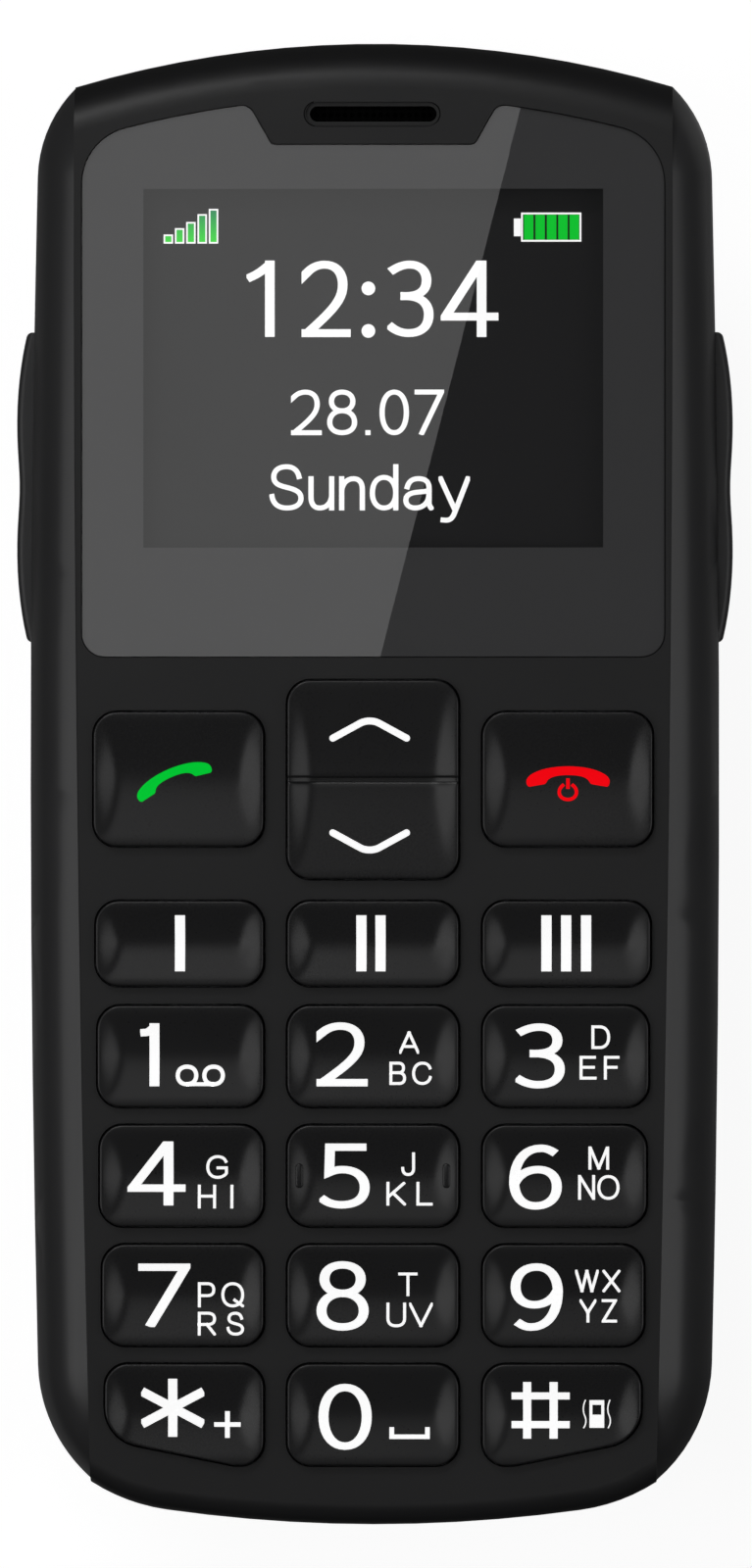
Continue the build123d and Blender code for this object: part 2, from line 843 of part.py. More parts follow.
def main_board():
    """The printed circuit board, clear of bosses and jack."""
    inset = rail_wall + housing_wall + board_edge_gap
    board = inner_body(inset, end_wall + board_edge_gap, board_low, board_top)
    for x, y in screw_places():
        sign = 1 if x > 0 else -1
        gap = boss_radius + shell_clearance
        board -= disc(x, y, board_low, gap, board_thickness)
        if abs(y - top_screw_y) > boss_radius:
            reach = bulge_x - abs(x)
            board -= box(x + sign * reach / 2, y, board_low, reach, gap * 2, board_thickness)
    jack_reach = half_length - jack_back_y() + port_gap
    board -= box(jack_x, half_length, board_low, jack_width + port_gap * 2, jack_reach * 2, board_thickness)
    lamp_reach = half_length - lamp_back_y() + lamp_gap
    lamp_room_width = (lamp_lens_radius + port_gap) * 2
    board -= box(lamp_x, half_length, board_low, lamp_room_width, lamp_reach * 2, board_thickness)
    return board


def dome_places():
    """The middles of the domes: one under each key and two under the rocker."""
    places = []
    for plan in key_plans():
        x = (plan.left + plan.right) / 2
        y = (plan.low + plan.high) / 2
        if plan.name == "navigation_rocker":
            arm = (plan.high - y) / 2
            places += [(x, y - arm), (x, y + arm)]
        else:
            places.append((x, y))
    return places


def dome_switches():
    """The metal domes of the front keys and of the emergency key."""
    foot = RegularPolygon(dome_radius, dome_sides)
    crown = Pos(0, 0, dome_height) * RegularPolygon(dome_top_radius, dome_sides)
    dome = loft([foot, crown], ruled=True)
    domes = [Pos(x, y, board_top) * dome for x, y in dome_places()]
    domes.append(Pos(0, alarm_key_y, board_low) * Rot(180, 0, 0) * dome)
    return Compound(children=domes)


def keypad_membrane():
    """The silicone mat under the front keys, with a nub over each dome."""
    plans = key_plans()
    high = max(plan.high for plan in plans) + key_lip
    low = min(plan.low for plan in plans) - membrane_border
    width = (max(plan.right for plan in plans) + membrane_border) * 2
    sheet = Pos(0, (high + low) / 2) * RectangleRounded(width, high - low, membrane_corner)
    side_inset = rail_wall + housing_wall + cavity_bevel
    room = inner_body(side_inset, end_wall + membrane_border, membrane_low, membrane_top)
    mat = prism(sheet, membrane_low, membrane_top) & room
    nub_low = board_top + dome_height + membrane_gap
    for x, y in dome_places():
        mat += prism(Pos(x, y) * RegularPolygon(nub_radius, dome_sides), nub_low, membrane_low)
    return mat


def side_switches():
    """The four switches under the board's long edges."""
    switches = []
    x = side_switch_face() - switch_depth / 2
    for sign in (-1, 1):
        for y in (side_key_y - side_key_nub_y, side_key_y + side_key_nub_y):
            low = board_low - switch_height
            switches.append(box(sign * x, y, low, switch_depth, switch_length, switch_height))
    return Compound(children=switches)


def shield_can():
    """The pressed can over the radio parts under the board."""
    x = shield_low_x + shield_width / 2
    can = box(x, shield_y, board_low - shield_height, shield_width, shield_length, shield_height)
    can = fillet(can.edges().filter_by(Axis.Z), shield_wall * 2)
    inner_width = shield_width - shield_wall * 2
    inner_length = shield_length - shield_wall * 2
    inner_low = board_low - shield_height + shield_wall
    return can - box(x, shield_y, inner_low, inner_width, inner_length, shield_height)


# Rear shell and what it carries


def battery_well():
    """The battery's well, open at the back."""
    width = battery_width + battery_gap * 2
    height = battery_length + battery_gap * 2
    outline = Pos(0, battery_y) * RectangleRounded(width, height, battery_corner)
    return prism(outline, cover_wall - overrun, well_top)


def battery():
    """The battery pack."""
    outline = Pos(0, battery_y) * RectangleRounded(battery_width, battery_length, battery_corner)
    return prism(outline, shell_low, shell_low + battery_thickness)


def battery_contacts():
    """The contact block under the board, with its sprung blades."""
    low = board_low - contact_block_drop
    y = contact_y + contact_blade_reach
    block = box(0, y, low, contact_block_width, contact_block_depth, contact_block_drop)
    for index in range(contact_count):
        x = (index - (contact_count - 1) / 2) * contact_blade_pitch
        blade_place = Pos(x, y - contact_block_depth / 2, low + contact_block_drop / 2)
        blade = Rot(0, 90, 0) * Cylinder(contact_blade_reach, contact_blade_width)
        block += blade_place * blade
    return block


def card_holders():
    """The two card holders under the battery."""
    holders = []
    low = board_low - card_holder_drop
    inner_width = card_holder_width - card_holder_wall * 2
    for sign in (-1, 1):
        x = sign * card_holder_x
        holder = box(x, card_holder_y, low, card_holder_width, card_holder_length, card_holder_drop)
        mouth_y = card_holder_y + card_holder_wall
        mouth = box(x, mouth_y, low, inner_width, card_holder_length, card_holder_drop / 2)
        holders.append(holder - mouth)
    return Compound(children=holders)


def memory_slot():
    """The holder for a memory card."""
    low = board_low - card_holder_drop
    slot = box(0, memory_slot_y, low, memory_slot_width, memory_slot_length, card_holder_drop)
    inner_width = memory_slot_width - card_holder_wall * 2
    mouth_y = memory_slot_y + card_holder_wall
    return slot - box(0, mouth_y, low, inner_width, memory_slot_length, card_holder_drop / 2)


def speaker_slots(low, high):
    """The slots of the loudspeaker, shorter towards the ends of the pattern."""
    slots = []
    for index in range(speaker_slot_count):
        share = speaker_slot_taper_shares[index % len(speaker_slot_taper_shares)]
        y = speaker_y + (index - (speaker_slot_count - 1) / 2) * speaker_slot_pitch
        face = Pos(0, y) * SlotOverall(speaker_slot_length * share, speaker_slot_width)
        slots.append(prism(face, low, high))
    return Compound(children=slots)


def loudspeaker():
    """The loudspeaker, its cone towards the back."""
    low = shell_floor_top + mesh_thickness
    body = disc(0, speaker_y, low, speaker_radius, speaker_thickness)
    step = disc(0, speaker_y, low + speaker_thickness / 2, speaker_radius + overrun, speaker_thickness)
    step -= disc(0, speaker_y, low + speaker_thickness / 2, speaker_radius - speaker_rim, speaker_thickness)
    cone = Cone(speaker_cone_radius, speaker_cone_radius / 2, speaker_cone_depth, align=upright)
    return body - step - Pos(0, speaker_y, low) * cone


def speaker_mesh():
    """The mesh between the loudspeaker and the slots."""
    return disc(0, speaker_y, shell_floor_top, speaker_radius, mesh_thickness)


def alarm_key():
    """The emergency key: a round dished cap, its lip and its stem."""
    cap = disc(0, alarm_key_y, alarm_key_recess, alarm_key_radius, shell_floor_top - alarm_key_recess)
    cap = chamfer(cap.faces().sort_by(Axis.Z)[0].edges(), alarm_key_rim)
    ball_radius = ((alarm_key_radius - key_land) ** 2 + alarm_key_dish**2) / (2 * alarm_key_dish)
    cap -= Pos(0, alarm_key_y, alarm_key_recess + alarm_key_dish - ball_radius) * Sphere(ball_radius)
    lip_foot = shell_floor_top + key_lip_gap
    cap += disc(0, alarm_key_y, shell_floor_top, alarm_key_radius, key_lip_gap)
    cap += disc(0, alarm_key_y, lip_foot, alarm_key_radius + alarm_key_lip, alarm_key_lip_thickness)
    stem_low = lip_foot + alarm_key_lip_thickness
    stem_high = board_low - dome_height - alarm_key_travel - key_lip_gap
    return cap + disc(0, alarm_key_y, stem_low, alarm_key_stem_radius, stem_high - stem_low)


def rear_chamber():
    """The hollow of the rear shell above the battery, open to the board."""
    inset = rail_wall + housing_wall + shell_clearance + chamber_wall
    end_inset = end_wall + shell_clearance + chamber_wall
    chamber = inner_body(inset, end_inset, shell_floor_top, shell_top + overrun)
    return chamber & box(0, chamber_y + length / 2, shell_floor_top, length, length, length)


def holder_window(x, y, width, height):
    """The window for a card holder in the roof of the battery's well."""
    return box(x, y, well_top - overrun, width + holder_gap * 2, height + holder_gap * 2, board_low)


def rear_housing():
    """The rear shell: battery well, chamber, seats and screw holes."""
    upper_inset = rail_wall + housing_wall + shell_clearance
    upper = inner_body(upper_inset, end_wall + shell_clearance, cover_height, shell_top)
    body = back_body(cover_wall + cover_clearance, shell_low) + upper
    body += inner_body(cover_wall + cover_clearance, cover_wall + cover_clearance, cover_height, parting_z)
    body -= battery_well() + rear_chamber()
    collar_height = speaker_thickness / 2
    collar_radius = speaker_radius + shell_clearance
    collar = disc(0, speaker_y, shell_floor_top, collar_radius + speaker_collar, collar_height)
    body += collar - disc(0, speaker_y, shell_floor_top, collar_radius, collar_height)
    body -= disc(0, speaker_y, shell_low, speaker_radius - speaker_rim, shell_floor)
    for x, y in screw_places():
        if abs(y - top_screw_y) < boss_radius:
            post = disc(x, y, shell_floor_top, boss_radius + chamber_wall / 2, shell_top - shell_floor_top)
            body += post & inner_body(upper_inset, end_wall + shell_clearance, shell_low, shell_top)
        body -= disc(x, y, shell_low, screw_head_radius + screw_hole_gap, screw_seat_z - shell_low)
        body -= disc(x, y, screw_seat_z, screw_shank_radius + screw_hole_gap, shell_top)
    body -= disc(0, alarm_key_y, shell_low - overrun, alarm_key_radius + alarm_key_gap, shell_floor + overrun)
    width = contact_block_width + holder_gap * 2
    depth = contact_block_depth + (contact_blade_reach + holder_gap) * 2
    body -= box(0, contact_y, board_low - contact_block_drop - holder_gap, width, depth, board_low)
    for x in (-card_holder_x, card_holder_x):
        body -= holder_window(x, card_holder_y, card_holder_width, card_holder_length)
    body -= holder_window(0, memory_slot_y, memory_slot_width, memory_slot_length)
    body -= both_sides(side_key_bay())
    body -= port_room() + jack_room() + lamp_room() + mic_room() + antenna_room()
    return body


def battery_cover():
    """The back cover: rounded shell with loudspeaker slots, key opening and nail notch."""
    body = back_body(0, 0)
    inner = back_body(cover_wall, cover_wall)
    body -= inner
    body -= speaker_slots(-overrun, cover_wall + overrun)
    body -= disc(0, alarm_key_y, -overrun, alarm_key_radius + alarm_key_gap, cover_wall + overrun * 2)
    notch_z = cover_height + nail_notch_radius - nail_notch_depth
    notch_reach = (cover_wall + overrun) * 2
    notch = Pos(0, -half_length, notch_z) * Rot(90, 0, 0) * Cylinder(nail_notch_radius, notch_reach)
    return body - (notch & box(0, -half_length, cover_wall, nail_notch_width, notch_reach, cover_height))


# Ends of the phone


def port_box(low_y, rise):
    """A block round the charging port, grown by its gap and raised at the board side."""
    low = board_low - port_height - port_gap
    height = port_height + port_gap * 2 + rise
    depth = port_length + port_recess
    return box(0, low_y + depth / 2, low, port_width + port_gap * 2, depth, height)


def usb_port():
    """The charging and data socket: a folded shell with a tongue."""
    low_y = port_recess - half_length
    z = board_low - port_height / 2
    mouth_plane = Plane(origin=(0, low_y, z), x_dir=(1, 0, 0), z_dir=(0, 1, 0))
    outer = mouth_plane * RectangleRounded(port_width, port_height, port_corner)
    shell = extrude(outer, amount=port_length)
    inner_width = port_width - port_wall * 2
    inner_height = port_height - port_wall * 2
    mouth = mouth_plane * RectangleRounded(inner_width, inner_height, port_corner - port_wall)
    shell -= extrude(mouth, amount=port_length - port_wall)
    tongue_y = low_y + port_length - port_tongue_length / 2
    tongue = Pos(0, tongue_y, z) * Box(port_tongue_width, port_tongue_length, port_tongue_thickness)
    return shell + tongue


def port_opening():
    """The mouth of the port in the end wall."""
    return port_box(-half_length - port_length / 2, 0)


def port_room():
    """The room for the port in the rear shell."""
    return port_box(-half_length, board_low)


def jack_axis():
    """The plane of the audio jack's mouth, looking along its bore."""
    return Plane(origin=(jack_x, half_length - top_arc_drop(jack_x, 0), jack_z), z_dir=(0, -1, 0))


def jack_back_y():
    """The inner end of the jack's block."""
    front = half_length - top_arc_drop(jack_x, 0) - end_wall - shell_clearance - board_edge_gap
    return front - jack_length


def audio_jack():
    """The audio jack: a block with a collar in the wall and a bore of 3.5 millimetres and its play."""
    block = Pos(jack_x, jack_back_y() + jack_length / 2, jack_z) * Box(jack_width, jack_length, jack_height)
    collar_reach = end_wall + shell_clearance + board_edge_gap
    collar_plane = jack_axis().offset(port_recess)
    collar = rod(collar_plane, jack_collar_radius, collar_reach - port_recess)
    bore = rod(jack_axis(), jack_bore_radius, jack_length)
    return block + collar - bore


def jack_opening():
    """The round opening of the jack in the end wall."""
    depth = (end_wall + board_edge_gap + shell_clearance) * 2
    return jack_axis() * Cylinder(jack_collar_radius + port_gap / 2, depth * 2)


def jack_room():
    """The room for the jack in the rear shell."""
    y = half_length - jack_length / 2
    low = jack_z - jack_height / 2 - port_gap
    return box(jack_x, y, low, jack_width + port_gap * 2, jack_length * 2, jack_height * 2)


def lamp_wall_y():
    """The outer face of the end wall at the torch lamp."""
    return half_length - top_arc_drop(lamp_x, 0)


def lamp_back_y():
    """The back of the torch lamp."""
    return lamp_wall_y() - lamp_lens_dome - end_wall - lamp_gap - lamp_depth


def lamp_lens():
    """The round lens of the torch in the end wall."""
    plane = Plane(origin=(lamp_x, lamp_wall_y() - lamp_lens_dome, lamp_z), z_dir=(0, -1, 0))
    body = rod(plane, lamp_lens_radius, end_wall)
    outer = body.faces().sort_by(Axis.Y)[-1].edges()
    return chamfer(outer, lamp_lens_dome / 2)


def lamp_opening():
    """The round opening for the torch lens."""
    plane = Plane(origin=(lamp_x, lamp_wall_y(), lamp_z), z_dir=(0, -1, 0))
    return plane * Cylinder(lamp_lens_radius + shell_clearance / 2, (end_wall + overrun) * 2)


def torch_lamp():
    """The lamp behind its lens, at the end of the board."""
    y = lamp_back_y() + lamp_depth / 2
    block = Pos(lamp_x, y, lamp_z) * Box(lamp_size, lamp_depth, lamp_size)
    return chamfer(block.faces().sort_by(Axis.Y)[-1].edges(), lamp_gap)


def lamp_room():
    """The room for the lamp in the rear shell."""
    low = lamp_z - lamp_lens_radius - port_gap
    depth = (half_length - lamp_back_y() + lamp_gap) * 2
    return box(lamp_x, half_length, low, (lamp_lens_radius + port_gap) * 2, depth, lamp_size * 2)


def microphone():
    """The microphone under the board, behind its hole."""
    y = end_wall * 2 + mic_thickness - half_length + port_gap
    plane = Plane(origin=(mic_x, y, mic_z - mic_hole_radius), z_dir=(0, 1, 0))
    return plane * Cylinder(mic_radius / 2 + mic_hole_radius, mic_thickness)


def mic_opening():
    """The microphone's hole in the end wall."""
    plane = Plane(origin=(mic_x, -half_length, mic_z), z_dir=(0, 1, 0))
    return plane * Cylinder(mic_hole_radius, (end_wall + overrun) * 2)


def mic_room():
    """The room for the microphone in the rear shell."""
    depth = (end_wall * 2 + mic_thickness * 2 + port_gap * 2) * 2
    return box(mic_x, -half_length, mic_z - mic_radius, mic_radius * 2, depth, board_low)


# Motor


def motor_plane(y):
    """A plane across the motor's axis."""
    return Plane(origin=(motor_x, y, motor_z), z_dir=(0, 1, 0))


def vibration_motor():
    """The can of the motor with the bore for its shaft."""
    can = rod(motor_plane(motor_y), motor_radius, motor_length)
    can = chamfer(can.faces().sort_by(Axis.Y)[0].edges(), motor_shaft_radius)
    bore_y = motor_y + motor_length - motor_shaft_depth
    bore_radius = motor_shaft_radius + motor_shaft_clearance
    return can - rod(motor_plane(bore_y), bore_radius, motor_shaft_depth)


def motor_shaft():
    """The shaft, from its bore in the can to the end of the weight."""
    low = motor_y + motor_length - motor_shaft_depth + motor_shaft_clearance * 2
    high = motor_y + motor_length + motor_shaft_reach
    return rod(motor_plane(low), motor_shaft_radius, high - low)


def vibration_weight():
    """The half-round weight on the motor's shaft."""
    low = motor_y + motor_length + motor_weight_gap
    weight = rod(motor_plane(low), motor_weight_radius, motor_weight_length)
    cut_z = motor_z + motor_shaft_radius + motor_weight_gap
    cut_width = motor_weight_radius * 2
    cut_y = low + motor_weight_length / 2
    weight -= box(motor_x, cut_y, cut_z, cut_width, motor_weight_length, cut_width)
    return weight - rod(motor_plane(low), motor_shaft_radius, motor_weight_length)


def motor_boot():
    """The rubber boot that carries the motor on the shell's floor."""
    width = (motor_radius + motor_boot_wall) * 2
    height = motor_z + motor_radius + motor_boot_wall / 2 - shell_floor_top
    y = motor_y + motor_boot_length / 2 + motor_boot_wall
    boot = box(motor_x, y, shell_floor_top, width, motor_boot_length, height)
    boot = fillet(boot.edges().filter_by(Axis.Y).sort_by(Axis.Z)[-2:], motor_boot_wall)
    return boot - rod(motor_plane(motor_y), motor_radius, motor_length)


# Antenna and screws


def antenna_block(grow):
    """The block of the antenna carrier, grown by a gap."""
    inset = rail_wall + housing_wall + shell_clearance + chamber_wall - grow
    end_inset = end_wall + shell_clearance + chamber_wall - grow
    span = antenna_high_x - antenna_low_x
    x = (antenna_high_x + antenna_low_x) / 2
    block = inner_body(inset, end_inset, shell_floor_top - grow, shell_top + grow)
    high = battery_y - battery_length / 2 - battery_gap - chamber_wall + grow
    return block & box(x, high - half_length, shell_floor_top - grow, span + grow * 2, length, length)


def antenna_carrier():
    """The carrier of the antenna, with a stepped face."""
    block = antenna_block(0)
    step_low = shell_floor_top + antenna_height - antenna_step
    x = (antenna_high_x + antenna_low_x) / 2
    step_y = battery_y - battery_length / 2 - chamber_wall - antenna_step / 2
    return block - box(x, step_y, step_low, length, antenna_step * 2, length)


def antenna_room():
    """The room for the antenna carrier in the rear shell, open to the board."""
    block = antenna_block(shell_clearance)
    return block & box(0, 0, shell_floor_top, length, length * 2, length)


def housing_screws():
    """The six screws."""
    screws = []
    for x, y in screw_places():
        screw = disc(x, y, screw_seat_z, screw_shank_radius, screw_length)
        head = disc(x, y, screw_seat_z - screw_head_height, screw_head_radius, screw_head_height)
        screws.append(screw + head)
    return Compound(children=screws)


right_rail = rail()
right_side_key = side_key()
pieces = {
    "front_housing": front_housing(),
    "right_rail": right_rail,
    "left_rail": mirror(right_rail, about=Plane.YZ),
    "right_side_key": right_side_key,
    "left_side_key": mirror(right_side_key, about=Plane.YZ),
    "display_lens": display_lens(),
    "lens_mask": lens_mask(),
    "earpiece_mesh": earpiece_mesh(),
    "earpiece_receiver": receiver(),
    "display_module": display_module(),
    "display_panel": display_panel(),
    "display_gasket": display_gasket(),
    "main_board": main_board(),
    "dome_switches": dome_switches(),
    "keypad_membrane": keypad_membrane(),
    "side_switches": side_switches(),
    "shield_can": shield_can(),
    "rear_housing": rear_housing(),
    "battery_cover": battery_cover(),
    "battery": battery(),
    "battery_contacts": battery_contacts(),
    "card_holders": card_holders(),
    "memory_card_slot": memory_slot(),
    "loudspeaker": loudspeaker(),
    "speaker_mesh": speaker_mesh(),
    "emergency_key": alarm_key(),
    "usb_port": usb_port(),
    "audio_jack": audio_jack(),
    "torch_lens": lamp_lens(),
    "torch_lamp": torch_lamp(),
    "microphone": microphone(),
    "vibration_motor": vibration_motor(),
    "motor_shaft": motor_shaft(),
    "vibration_weight": vibration_weight(),
    "motor_boot": motor_boot(),
    "antenna_carrier": antenna_carrier(),
    "housing_screws": housing_screws(),
}
for plan in key_plans():
    pieces[plan.name] = front_key(plan)
for name, shape in pieces.items():
    export_step(shape, f"parts/{name}.step")
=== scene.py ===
"""Looks of a big-button bar phone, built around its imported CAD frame."""

import logging
import math
from collections.abc import Callable, Sequence
from dataclasses import dataclass, field
from enum import Enum
from functools import cache

import bmesh
import bpy
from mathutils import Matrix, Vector
from mathutils.bvhtree import BVHTree


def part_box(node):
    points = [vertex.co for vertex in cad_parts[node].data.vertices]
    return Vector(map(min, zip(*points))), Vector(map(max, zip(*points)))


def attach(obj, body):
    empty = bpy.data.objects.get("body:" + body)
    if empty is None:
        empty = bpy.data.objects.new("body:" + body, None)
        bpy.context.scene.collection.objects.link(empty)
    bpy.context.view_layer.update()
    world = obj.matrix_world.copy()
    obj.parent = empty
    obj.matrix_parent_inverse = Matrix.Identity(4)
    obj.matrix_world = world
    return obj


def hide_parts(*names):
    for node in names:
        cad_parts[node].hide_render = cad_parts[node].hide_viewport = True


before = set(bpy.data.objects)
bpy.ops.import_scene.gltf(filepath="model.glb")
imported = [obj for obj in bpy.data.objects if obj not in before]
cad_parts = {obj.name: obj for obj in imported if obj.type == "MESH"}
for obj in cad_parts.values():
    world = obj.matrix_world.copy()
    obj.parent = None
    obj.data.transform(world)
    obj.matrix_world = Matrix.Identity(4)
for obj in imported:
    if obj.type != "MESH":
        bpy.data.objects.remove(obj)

log = logging.getLogger("phone")
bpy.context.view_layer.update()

MM = 0.001
BMesh = bmesh.types.BMesh
Object = bpy.types.Object
Material = bpy.types.Material
Point = tuple[float, float]
Triple = tuple[float, float, float]
Colour = Triple
Surface = Callable[[float, float], float]


# Shader building


class Value:
    """A shader socket that takes part in Python expressions."""

    def __init__(self, shader: "Shader", socket: bpy.types.NodeSocket) -> None:
        """Keep the socket and the shader that owns it."""
        self.shader = shader
        self.socket = socket

    def _math(self, operation: str, *operands: "Value | float") -> "Value":
        """Add one Math node over the operands."""
        return self.shader.node("Math", dict(enumerate(operands)), operation=operation)

    def __add__(self, other: "Value | float") -> "Value":
        """Sum."""
        return self._math("ADD", self, other)

    def __radd__(self, other: float) -> "Value":
        """Reflected sum."""
        return self._math("ADD", other, self)

    def __sub__(self, other: "Value | float") -> "Value":
        """Difference."""
        return self._math("SUBTRACT", self, other)

    def __rsub__(self, other: float) -> "Value":
        """Reflected difference."""
        return self._math("SUBTRACT", other, self)

    def __mul__(self, other: "Value | float") -> "Value":
        """Product."""
        return self._math("MULTIPLY", self, other)

    def __rmul__(self, other: float) -> "Value":
        """Reflected product."""
        return self._math("MULTIPLY", other, self)

    def over(self, edge: float) -> "Value":
        """One where the value lies over the edge, else zero."""
        return self._math("GREATER_THAN", self, edge)

    def highest(self, other: "Value | float") -> "Value":
        """The larger of two values."""
        return self._math("MAXIMUM", self, other)


class Shader:
    """A material's or the world's node tree under construction."""

    def __init__(self, name: str, world: bpy.types.World | None = None) -> None:
        """Start with an empty tree.

        Args:
            name: What a new material is called.
            world: The world, where its tree is built and no material is made.
        """
        self.owner = world or bpy.data.materials.new(name)
        self.owner.use_nodes = True
        self.tree = self.owner.node_tree
        self.tree.nodes.clear()

    def node(self, kind: str, inputs: dict | None = None, output: int | str = 0, **settings: str) -> Value:
        """Add a node.

        Args:
            kind: The node's type without its prefix.
            inputs: Values or links by the socket's name or number.
            output: Which output is handed back.
            **settings: Properties of the node, which are set first.

        Returns:
            The chosen output as a value.
        """
        made = self.tree.nodes.new(f"ShaderNode{kind}")
        for key, value in settings.items():
            setattr(made, key, value)
        for key, value in (inputs or {}).items():
            if isinstance(value, Value):
                self.tree.links.new(value.socket, made.inputs[key])
            else:
                made.inputs[key].default_value = value
        return Value(self, made.outputs[output])

    def place(self, stretch: Sequence[float] = (1.0, 1.0, 1.0)) -> Value:
        """Where a point lies on the object, stretched along the axes."""
        spot = self.node("TexCoord", output="Object")
        return self.node("Mapping", {"Vector": spot, "Scale": stretch})

    def noise(self, place: Value, scale: float, detail: float = 2.0) -> Value:
        """Soft noise between zero and one."""
        return self.node("TexNoise", {"Vector": place, "Scale": scale, "Detail": detail})

    def mix(self, share: Value, first: "Value | Colour", second: "Value | Colour") -> Value:
        """A colour between two colours."""
        colours = [value if isinstance(value, Value) else (*value, 1.0) for value in (first, second)]
        sockets = {0: share, 6: colours[0], 7: colours[1]}
        return self.node("Mix", sockets, output=2, data_type="RGBA")

    def bump(self, height: Value, strength: float, distance: float) -> Value:
        """A normal that follows a height."""
        sockets = {"Height": height, "Strength": strength, "Distance": distance}
        return self.node("Bump", sockets, output="Normal")

    def blend(self, share: Value, first: Value, second: Value) -> Value:
        """A surface between two surfaces."""
        return self.node("MixShader", {0: share, 1: first, 2: second})

    def finish(self, surface: Value, kind: str = "Material") -> "Material | bpy.types.World":
        """Send a surface to the output and hand the tree's owner back."""
        output = self.tree.nodes.new(f"ShaderNodeOutput{kind}")
        self.tree.links.new(surface.socket, output.inputs["Surface"])
        return self.owner

    def principled(self, sockets: dict) -> Material:
        """Finish with a Principled surface."""
        return self.finish(self.node("BsdfPrincipled", sockets))


def tinted(colour: Colour, share: float) -> Colour:
    """A colour made lighter or darker by a share."""
    return tuple(min(1.0, part * (1.0 + share)) for part in colour)


# Finishes


@dataclass(frozen=True)
class Moulding:
    """Moulded plastic or rubber with a fine grain from its tool, and an optional painted glow."""

    name: str
    colour: Colour
    roughness: float
    grain: float = 4200.0
    depth: float = 0.012 * MM
    mottle: float = 0.10
    specular: float = 0.5
    # painted glow: the surface emits its own colour, so a part that is no lamp reads brighter than its light
    # makes it
    glow: float = 0.0
    stretch: Triple = (1.0, 1.0, 1.0)
    cloud: float = 70.0
    uneven_cloud: float = 0.08
    uneven_grain: float = 0.06
    relief: float = 0.3

    def material(self) -> Material:
        """Build the material."""
        shader = Shader(self.name)
        grain = shader.noise(shader.place(self.stretch), self.grain)
        cloud = shader.noise(shader.place(), self.cloud, detail=3.0)
        colour = shader.mix(cloud, tinted(self.colour, -self.mottle), tinted(self.colour, self.mottle))
        uneven = (cloud - 0.5) * self.uneven_cloud
        sockets = {
            "Base Color": colour,
            "Roughness": self.roughness + uneven + (grain - 0.5) * self.uneven_grain,
            "Specular IOR Level": self.specular,
        }
        if self.depth:
            sockets["Normal"] = shader.bump(grain, self.relief, self.depth)
        # Painted glow: emission of the base colour.
        if self.glow:
            sockets["Emission Color"] = colour
            sockets["Emission Strength"] = self.glow
        return shader.principled(sockets)


@dataclass(frozen=True)
class Metal:
    """Rolled or turned metal with fine lines along one axis."""

    name: str
    colour: Colour
    roughness: float = 0.3
    stretch: Triple = (1.0, 12.0, 1.0)
    lines: float = 900.0
    cloud: float = 90.0
    tints: tuple[float, float] = (-0.12, 0.08)
    uneven: float = 0.22
    relief: float = 0.2
    depth: float = 0.01 * MM

    def material(self) -> Material:
        """Build the material."""
        shader = Shader(self.name)
        lines = shader.noise(shader.place(self.stretch), self.lines, detail=3.0)
        cloud = shader.noise(shader.place(), self.cloud)
        sockets = {
            "Base Color": shader.mix(cloud, *(tinted(self.colour, tint) for tint in self.tints)),
            "Metallic": 1.0,
            "Roughness": self.roughness + (lines - 0.5) * self.uneven,
            "Normal": shader.bump(lines, self.relief, self.depth),
        }
        return shader.principled(sockets)


@dataclass(frozen=True)
class Perforated:
    """A thin sheet with rows of punched holes, which are not cut but painted dark as painted shade."""

    name: str
    colour: Colour
    pitch: float = 0.55 * MM
    hole: float = 0.34
    metallic: float = 0.8
    specular: float = 0.5
    hole_roughness: float = 0.75
    polish: float = 0.35
    hole_painted_shade: float = -0.9
    relief: float = 0.8
    depth: float = 0.05 * MM

    def material(self) -> Material:
        """Build the material."""
        shader = Shader(self.name)
        sockets = {"Vector": shader.place(), "Scale": 1.0 / self.pitch, "Randomness": 0.0}
        reach = shader.node("TexVoronoi", sockets, output="Distance", voronoi_dimensions="2D")
        sheet = reach.over(self.hole)
        sockets = {
            # Painted shade: the sheet's colour darkened where each hole lies, for the shade inside it.
            "Base Color": shader.mix(sheet, tinted(self.colour, self.hole_painted_shade), self.colour),
            "Metallic": sheet * self.metallic,
            "Specular IOR Level": self.specular,
            "Roughness": self.hole_roughness - sheet * self.polish,
            "Normal": shader.bump(sheet, self.relief, self.depth),
        }
        return shader.principled(sockets)


@dataclass(frozen=True)
class Circuit:
    """Solder resist over copper tracks, with bare pads."""

    name: str
    resist: Colour = (0.010, 0.095, 0.035)
    copper: Colour = (0.55, 0.38, 0.12)
    cell: float = 320.0
    grain: float = 2600.0
    track_reach: float = 0.42
    pad_reach: float = 0.07
    track_tint: float = 0.9
    roughness: float = 0.42
    uneven: float = 0.1
    relief: float = 0.35
    depth: float = 0.03 * MM

    def material(self) -> Material:
        """Build the material."""
        shader = Shader(self.name)
        place = shader.place()
        sockets = {"Vector": place, "Scale": self.cell, "Randomness": 1.0}
        settings = {"voronoi_dimensions": "2D", "distance": "CHEBYCHEV"}
        cells = shader.node("TexVoronoi", sockets, output="Distance", **settings)
        tracks = 1.0 - cells.over(self.track_reach)
        pads = 1.0 - cells.over(self.pad_reach)
        tracked = shader.mix(tracks, self.resist, tinted(self.resist, self.track_tint))
        grain = shader.noise(place, self.grain)
        sockets = {
            "Base Color": shader.mix(pads, tracked, self.copper),
            "Metallic": pads,
            "Roughness": self.roughness + (grain - 0.5) * self.uneven,
            "Normal": shader.bump(tracks + grain * 0.2, self.relief, self.depth),
        }
        return shader.principled(sockets)


